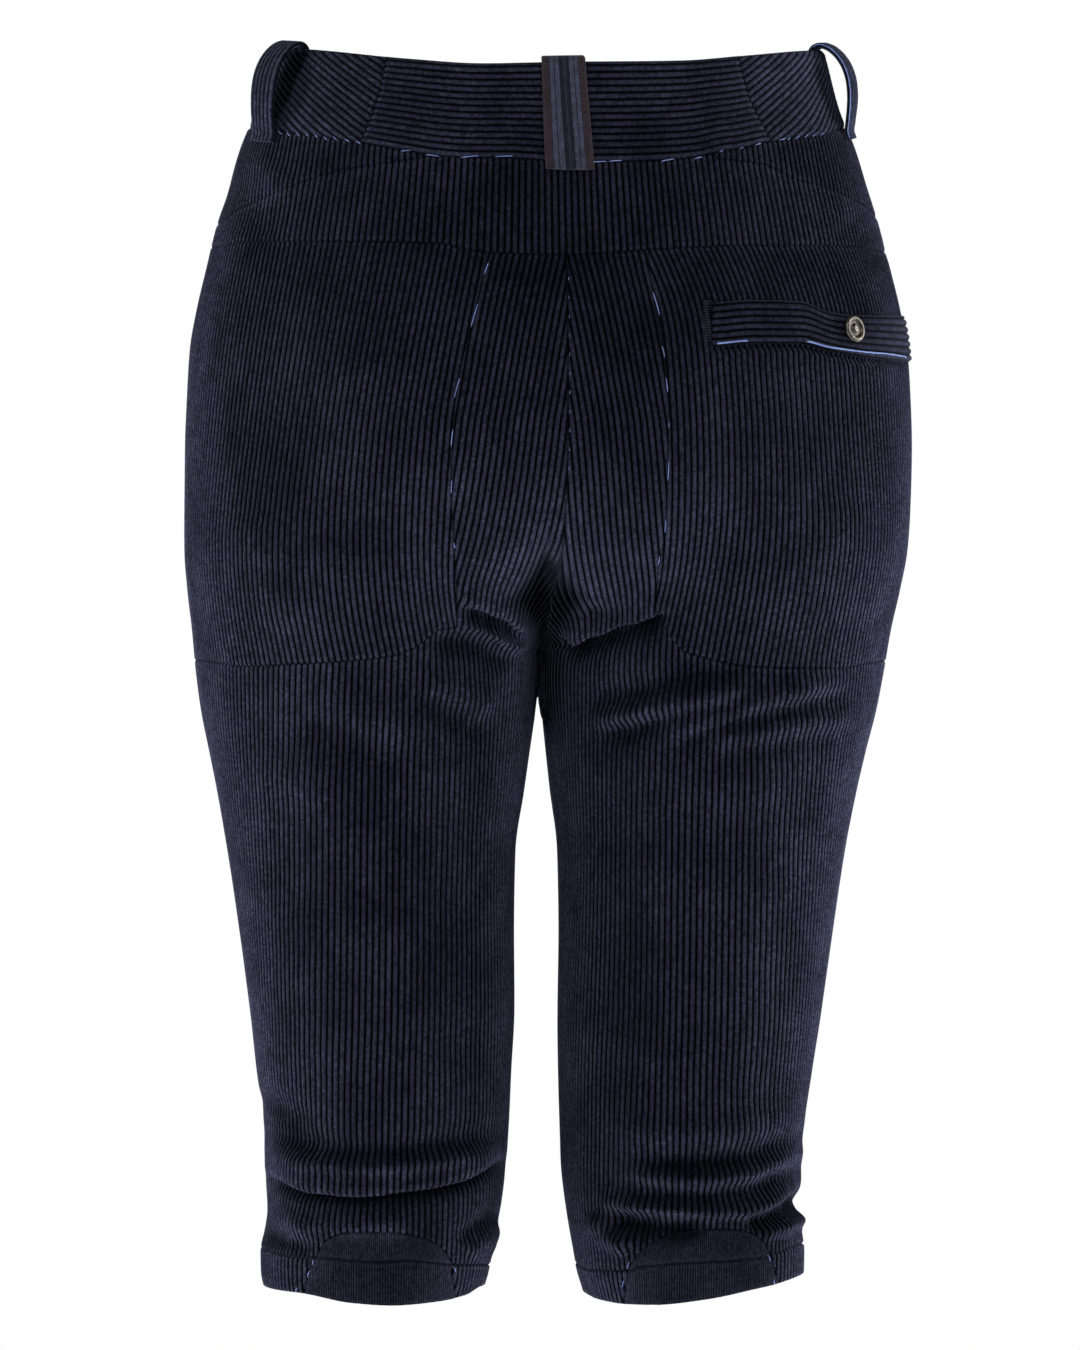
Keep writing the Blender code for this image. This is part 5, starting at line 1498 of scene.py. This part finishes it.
def threads(name, runs, material, radius=0.34, lift=0.15, sides=7):
    """Short stitches lying on the cloth: runs are (side, (ax, ez), (ax, ez))."""
    verts, faces, uvs = [], [], []
    for side, a, b, *more in runs:
        r = more[0] if more else radius
        up = more[1] if len(more) > 1 else lift
        length = math.hypot(b[0] - a[0], b[1] - a[1])
        k = max(5, int(length / 0.8))
        s = np.linspace(0, 1, k)
        ax, ez = a[0] + (b[0] - a[0]) * s, a[1] + (b[1] - a[1]) * s
        t, level = find_places(side, ax, ez)
        p, n = lookup(t, level)
        dome = np.sqrt(np.clip(1 - (2 * s - 1) ** 6, 0.02, 1))
        # the ends dip into the cloth
        h = up + r - 0.9 * (2 * s - 1) ** 4 * 0.8
        # two plies twist round each other
        for turn in (0, math.pi):
            c = np.gradient(p, axis=0)
            c /= np.linalg.norm(c, axis=1, keepdims=True)
            o = np.cross(n, c)
            ang = s * length * 1.7 + turn
            q = p + n * (h + r * 0.42 * np.sin(ang))[:, None] + o * (r * 0.42 * np.cos(ang))[:, None]
            tube_along(q, r * 0.66 * dome, sides, verts, faces, uvs)
    quads = [f for f in faces if len(f) == 4]
    rest = [f for f in faces if len(f) != 4]
    uv = np.array(uvs)
    uv[:, 0] = np.arange(len(uv)) // (sides * 6) * 3.2 + (np.arange(len(uv)) % sides) * 0.4
    return solid(name, np.array(verts), [(np.array(quads), uv), (rest, uv)], {}, material)


# ---------------------------------------------------------------- turned metal
def lathed(name, profile, sides, material, place, look, slots=0):
    """A turned button from (radius, height) rows, mm."""
    prof, _ = through(profile, 46)
    prof[0, 0] = prof[-1, 0] = 0.0
    prof[:, 0] = np.maximum(prof[:, 0], 0.0)
    z = Vector(look).normalized()
    x = Vector((0, 0, 1)).cross(z).normalized()
    y = z.cross(x)
    M = np.array(Matrix((x, y, z)).transposed())
    verts, faces = [], []
    a = np.arange(sides) * 2 * math.pi / sides
    verts.append((0, 0, prof[0, 1]))
    for r, h in prof[1:-1]:
        for k in range(sides):
            verts.append((r * math.cos(a[k]), r * math.sin(a[k]), h))
    verts.append((0, 0, prof[-1, 1]))
    n = len(prof) - 2
    last = len(verts) - 1
    for k in range(sides):
        m = (k + 1) % sides
        faces.append([0, 1 + m, 1 + k])
        for i in range(n - 1):
            A, B = 1 + i * sides, 1 + (i + 1) * sides
            faces.append([A + k, A + m, B + m, B + k])
        A = 1 + (n - 1) * sides
        faces.append([A + k, A + m, last])
    v = np.array(verts)
    top = v[:, 2] > prof[:, 1].max() * 0.45
    uv = v[:, :2].copy()
    uv[~top, 0] += v[:, 0].max() * 2 + 2
    flip = (np.cross(v[faces[1][1]] - v[faces[1][0]], v[faces[1][2]] - v[faces[1][0]]) * v[faces[1][0]]).sum() < 0
    w = v @ M.T + np.array(place)
    return solid(name, w, [([f[::-1] if flip else f for f in faces], uv)],
                 {"radius": np.hypot(v[:, 0], v[:, 1])}, material)


# ---------------------------------------------------------------- build it all
CLOTH = build_cloth()
CLOTH["loop_back"] = strap("loop_back_webbing", -0.008, FLAT_LOOP, WEB, lean_by=2.0, ribs=0, thick=1.3, base=0.5)
CLOTH["loop_side_l"] = strap("loop_side_l_cloth", 0.755, PROUD_LOOP, SIDE_CORD)
CLOTH["loop_side_r"] = strap("loop_side_r_cloth", -0.85, PROUD_LOOP, SIDE_CORD)
CLOTH["loop_front_l"] = strap("loop_front_l_cloth", 1.60, FLAT_LOOP, CORD)
CLOTH["loop_front_r"] = strap("loop_front_r_cloth", -1.60, FLAT_LOOP, CORD)

# piping along the flap's lower edge: two cords twisted round each other
reach = np.linspace(84.0, 177.0, 150)
t, level = find_places(-1, reach, smooth_line(PIPING)(reach) - 0.6)
p, n = lookup(t, level)
verts, faces, uvs = [], [], []
c = np.gradient(p, axis=0)
c /= np.linalg.norm(c, axis=1, keepdims=True)
o = np.cross(n, c)
sunk = 1.5 * step(reach, 97, 104) * step(reach, 130, 124) + 1.4 * step(t, -0.84, -0.965)   # rolled under the flap's edge for a stretch
ang = np.cumsum(np.concatenate([[0], np.linalg.norm(np.diff(p, axis=0), axis=1)])) * 2.6
for turn in (0.0, math.pi):
    q = p + n * (2.6 - sunk + 0.24 * np.sin(ang + turn))[:, None] + o * (0.24 * np.cos(ang + turn))[:, None]
    tube_along(q, np.full(len(q), 0.32), 8, verts, faces, uvs)
uv = np.stack([np.arange(len(verts)) % 8 * 0.4 + (np.arange(len(verts)) // (8 * 150)) * 4, np.arange(len(verts)) // 8 % 150 * 0.6], 1)
PIPE = solid("pocket_piping_cord", np.array(verts), [(np.array([f for f in faces if len(f) == 4]), uv),
                                                    ([f for f in faces if len(f) != 4], uv)], {}, BLUE)

# the thread along the right side loop's near edge
near, far, n = RIMS["loop_side_r_cloth"]
line = near if near[:, 1].mean() > far[:, 1].mean() else far
verts, faces, uvs = [], [], []
tube_along(line + n * 0.5, 0.27 * np.sqrt(np.clip(1 - np.linspace(-1, 1, len(line)) ** 8, 0.03, 1)), 8, verts, faces, uvs)
uv = np.stack([np.arange(len(verts)) % 8 * 0.4, np.arange(len(verts)) // 8 * 0.6], 1)
EDGING = solid("loop_edge_thread", np.array(verts), [(np.array([f for f in faces if len(f) == 4]), uv),
                                                     ([f for f in faces if len(f) != 4], uv)], {}, BLUE)

R = 6.75
t, level = find_places(-1, [150.0], [-110.0])
p, n = lookup(t, level)
BUTTON_P = lathed("pocket_button_metal", [(0, 0), (R * .5, 0), (R * .85, .1), (R * .97, .6), (R, 1.1), (R * .96, 1.6), (R * .86, 2.0),
                               (R * .74, 2.05), (R * .64, 1.75), (R * .56, 1.3), (R * .44, 1.15), (R * .36, 1.3),
                               (R * .29, 1.75), (R * .2, 1.95), (0, 1.98)], 72, METAL, p[0] + n[0] * 4.2, n[0])
R = 8.5
p, n = lookup(np.array([1.955]), np.array([-8.0]))
BUTTON_W = lathed("waist_button_metal", [(0, 0), (R * .5, 0), (R * .85, .1), (R * .97, .7), (R, 1.2), (R * .96, 1.8), (R * .86, 2.2),
                               (R * .74, 2.25), (R * .64, 1.95), (R * .56, 1.5), (R * .44, 1.3), (R * .36, 1.5),
                               (R * .29, 1.95), (R * .2, 2.15), (0, 2.18)], 72, METAL, p[0] + n[0] * (LAP + 1.3), n[0])

# stitches that show as light dashes, by their places on the elevation drawn at 2 to the mm
DASHES = {
    +1: [((278, 132), (283, 136)), ((287, 133), (291, 138)), ((297, 134), (300, 138)), ((306, 134), (309, 138)),
         ((315, 135), (318, 139)), ((324, 137), (327, 141)), ((333, 137), (338, 142)), ((345, 140), (350, 143)),
         ((356, 142), (361, 145)),
         ((400, 152), (411, 151)), ((425, 155), (440, 157)), ((461, 158), (479, 156)), ((495, 157), (513, 156)),
         ((489, 262), (484, 275)), ((478, 303), (471, 327)), ((460, 377), (454, 399)), ((453, 429), (451, 447)),
         ((452, 480), (451, 494)), ((454, 543), (455, 549)),
         ((314, 1258), (313, 1264)), ((310, 1269), (308, 1276)), ((298, 1286), (296, 1291)), ((454, 1266), (456, 1273))],
    -1: [((591, 162), (607, 161)), ((609, 161), (622, 160)), ((660, 161), (675, 158)), ((694, 158), (703, 156)),
         ((720, 151), (724, 149)), ((740, 148), (744, 146)), ((756, 144), (762, 142)), ((780, 139), (787, 137)),
         ((788, 139), (791, 136)), ((796.5, 137.5), (800.5, 133.8)), ((805.8, 136), (809, 132.4)), ((813.5, 135), (816.3, 131.9)), ((821.6, 133.7), (824, 131.2)),
         ((653, 291), (660, 315)), ((662, 345), (665, 357)), ((666, 377), (668, 392)), ((669, 421), (669, 428)),
         ((669, 460), (668, 481)), ((666, 519), (665, 533)), ((660, 557), (658, 566)),
         ((629, 1262), (627, 1270)), ((624, 1280), (622, 1289)), ((769, 1256), (771, 1264)), ((774, 1280), (775, 1287))],
}
runs = [(s, px(s, *a), px(s, *b)) for s in DASHES for a, b in DASHES[s]]
# faint spots down the centre back seam, slanted one way and then the other
for i, y in enumerate(range(276, 468, 19)):
    s = 1 if i % 2 else -1
    x = float(np.interp(y, [256, 281, 351, 424, 490], [565, 562.5, 560.5, 561, 560.5]))
    runs.append((1 if x < 548 else -1, px(-1, x + s * 2.2, y), px(-1, x - s * 1.4, y + 4.5), 0.15, -0.1))
STITCHES = threads("seam_stitches", runs, BLUE, radius=0.22, lift=0.0)

# tonal threads: the bar tack at the flap's end and the tape's sewn end
tacks = []
for i in range(16):
    y = 301 + i * 2.6
    tacks.append((-1, px(-1, 703, y), px(-1, 709, y + 0.6), 0.30, 0.75))
for i in range(11):
    x = 552 + i * 3.3
    tacks.append((-1, px(-1, x, 154.5), px(-1, x + 1.2, 160.5), 0.26, 3.0))
TACKS = threads("tonal_stitches", tacks, NAVY_THREAD, radius=0.3)

# ---------------------------------------------------------------- the sheets that each piece was cut from
CUT = {   # flat width, length and area in square metres
    "waistband_back": (0.21, 0.048, 0.0093), "waistband_side_l": (0.30, 0.048, 0.0134),
    "waistband_side_r": (0.34, 0.048, 0.0152), "yoke_back": (0.39, 0.062, 0.0158),
    "hip_l": (0.30, 0.072, 0.0080), "hip_r": (0.30, 0.070, 0.0075),
    "seat_l": (0.20, 0.24, 0.0437), "seat_r": (0.20, 0.24, 0.0443),
    "back_leg_l": (0.26, 0.56, 0.0872), "back_leg_r": (0.26, 0.56, 0.0865),
    "front_l": (0.26, 0.60, 0.1146), "front_r": (0.26, 0.60, 0.1148),
    "cuff_l": (0.26, 0.026, 0.0051), "cuff_r": (0.26, 0.026, 0.0049),
    "cuff_insert_l": (0.080, 0.026, 0.0015), "cuff_insert_r": (0.078, 0.026, 0.0014),
    "knee_gusset_l": (0.075, 0.018, 0.00065), "knee_gusset_r": (0.078, 0.020, 0.00077),
    "fly": (0.040, 0.155, 0.0043), "pocket_flap": (0.150, 0.024, 0.0033),
    "loop_back": (0.020, 0.056, 0.0011), "loop_side_l": (0.020, 0.064, 0.00125),
    "loop_side_r": (0.020, 0.064, 0.00125), "loop_front_l": (0.020, 0.056, 0.0011),
    "loop_front_r": (0.020, 0.056, 0.0011),
}
for node, ob in CLOTH.items():
    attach(ob, "root")
    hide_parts(node)
    w, l, area = CUT[node]
    area = min(area, w * l)
for ob, node, slot in ((PIPE, "pocket_piping", "piping"), (BUTTON_P, "pocket_button", "button_metal"),
                       (BUTTON_W, "waist_button", "button_metal")):
    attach(ob, "root")
    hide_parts(node)
for ob, slot in ((STITCHES, "piping"), (EDGING, "piping"), (TACKS, "corduroy")):
    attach(ob, "root")


# ---------------------------------------------------------------- studio
def lamp(name, kind, energy, size, place, at, colour=(1, 1, 1), size_y=None):
    light = bpy.data.lights.new(name, kind)
    light.energy = energy
    light.color = colour
    if kind == "AREA":
        light.shape = "RECTANGLE"
        light.size = size
        light.size_y = size_y or size
    ob = bpy.data.objects.new(name, light)
    bpy.context.scene.collection.objects.link(ob)
    ob.location = place
    ob.rotation_euler = (Vector(at) - Vector(place)).to_track_quat("-Z", "Y").to_euler()
    return ob


def studio_floor():
    """A pale floor, plain and level."""
    k = Nodes("pale_floor")
    f = k.noise(3.0, 3.0, 0.5)
    c = k.mix(k.ramp(f, 0.3, 0.7), (0.86, 0.865, 0.87), (0.90, 0.90, 0.90))
    k.link(c, k.bsdf.inputs["Base Color"])
    k.bsdf.inputs["Roughness"].default_value = 0.9
    k.bsdf.inputs["Specular IOR Level"].default_value = 0.1
    k.bsdf.inputs["Emission Color"].default_value = (1, 1, 1, 1)
    k.bsdf.inputs["Emission Strength"].default_value = 0.35
    n, size, z = 96, 3.3, -1.02
    ring = [(size * math.cos(a), size * math.sin(a), z) for a in np.arange(n) * 2 * math.pi / n]
    mesh = bpy.data.meshes.new("studio_floor")
    mesh.from_pydata(ring, [], [list(range(n))])
    mesh.materials.append(k.m)
    ob = bpy.data.objects.new("studio_floor", mesh)
    bpy.context.scene.collection.objects.link(ob)


studio_floor()
# a white surround, bright to look at and softer as a light
world = bpy.data.worlds.new("studio")
bpy.context.scene.world = world
world.use_nodes = True
wt = world.node_tree
sky = wt.nodes["Background"]
seen = wt.nodes.new("ShaderNodeLightPath")
level_ = wt.nodes.new("ShaderNodeMapRange")
wt.links.new(seen.outputs["Is Camera Ray"], level_.inputs["Value"])
level_.inputs["To Min"].default_value = 0.16
level_.inputs["To Max"].default_value = 1.0
wt.links.new(level_.outputs["Result"], sky.inputs["Strength"])
sky.inputs["Color"].default_value = (1.0, 1.0, 1.0, 1)
middle = (0.0, 0.0, -0.28)
lamp("key_low", "AREA", 26.0, 1.2, (0.5, 3.0, -0.75), middle, size_y=1.0)
lamp("key_top", "AREA", 18.0, 1.2, (-0.9, 2.4, 1.3), middle, size_y=1.0)
lamp("front_light", "AREA", 26.0, 1.6, (0.6, -3.0, 0.7), middle, size_y=1.4)
lamp("edge_l", "AREA", 40.0, 0.6, (2.3, -0.4, 0.1), middle, size_y=1.8)
lamp("edge_r", "AREA", 46.0, 0.6, (-2.3, -0.4, 0.1), middle, size_y=1.8)

print("faces", sum(len(o.data.loops) - 2 * len(o.data.polygons) for o in MADE),
      {o.name: len(o.data.loops) - 2 * len(o.data.polygons) for o in MADE})
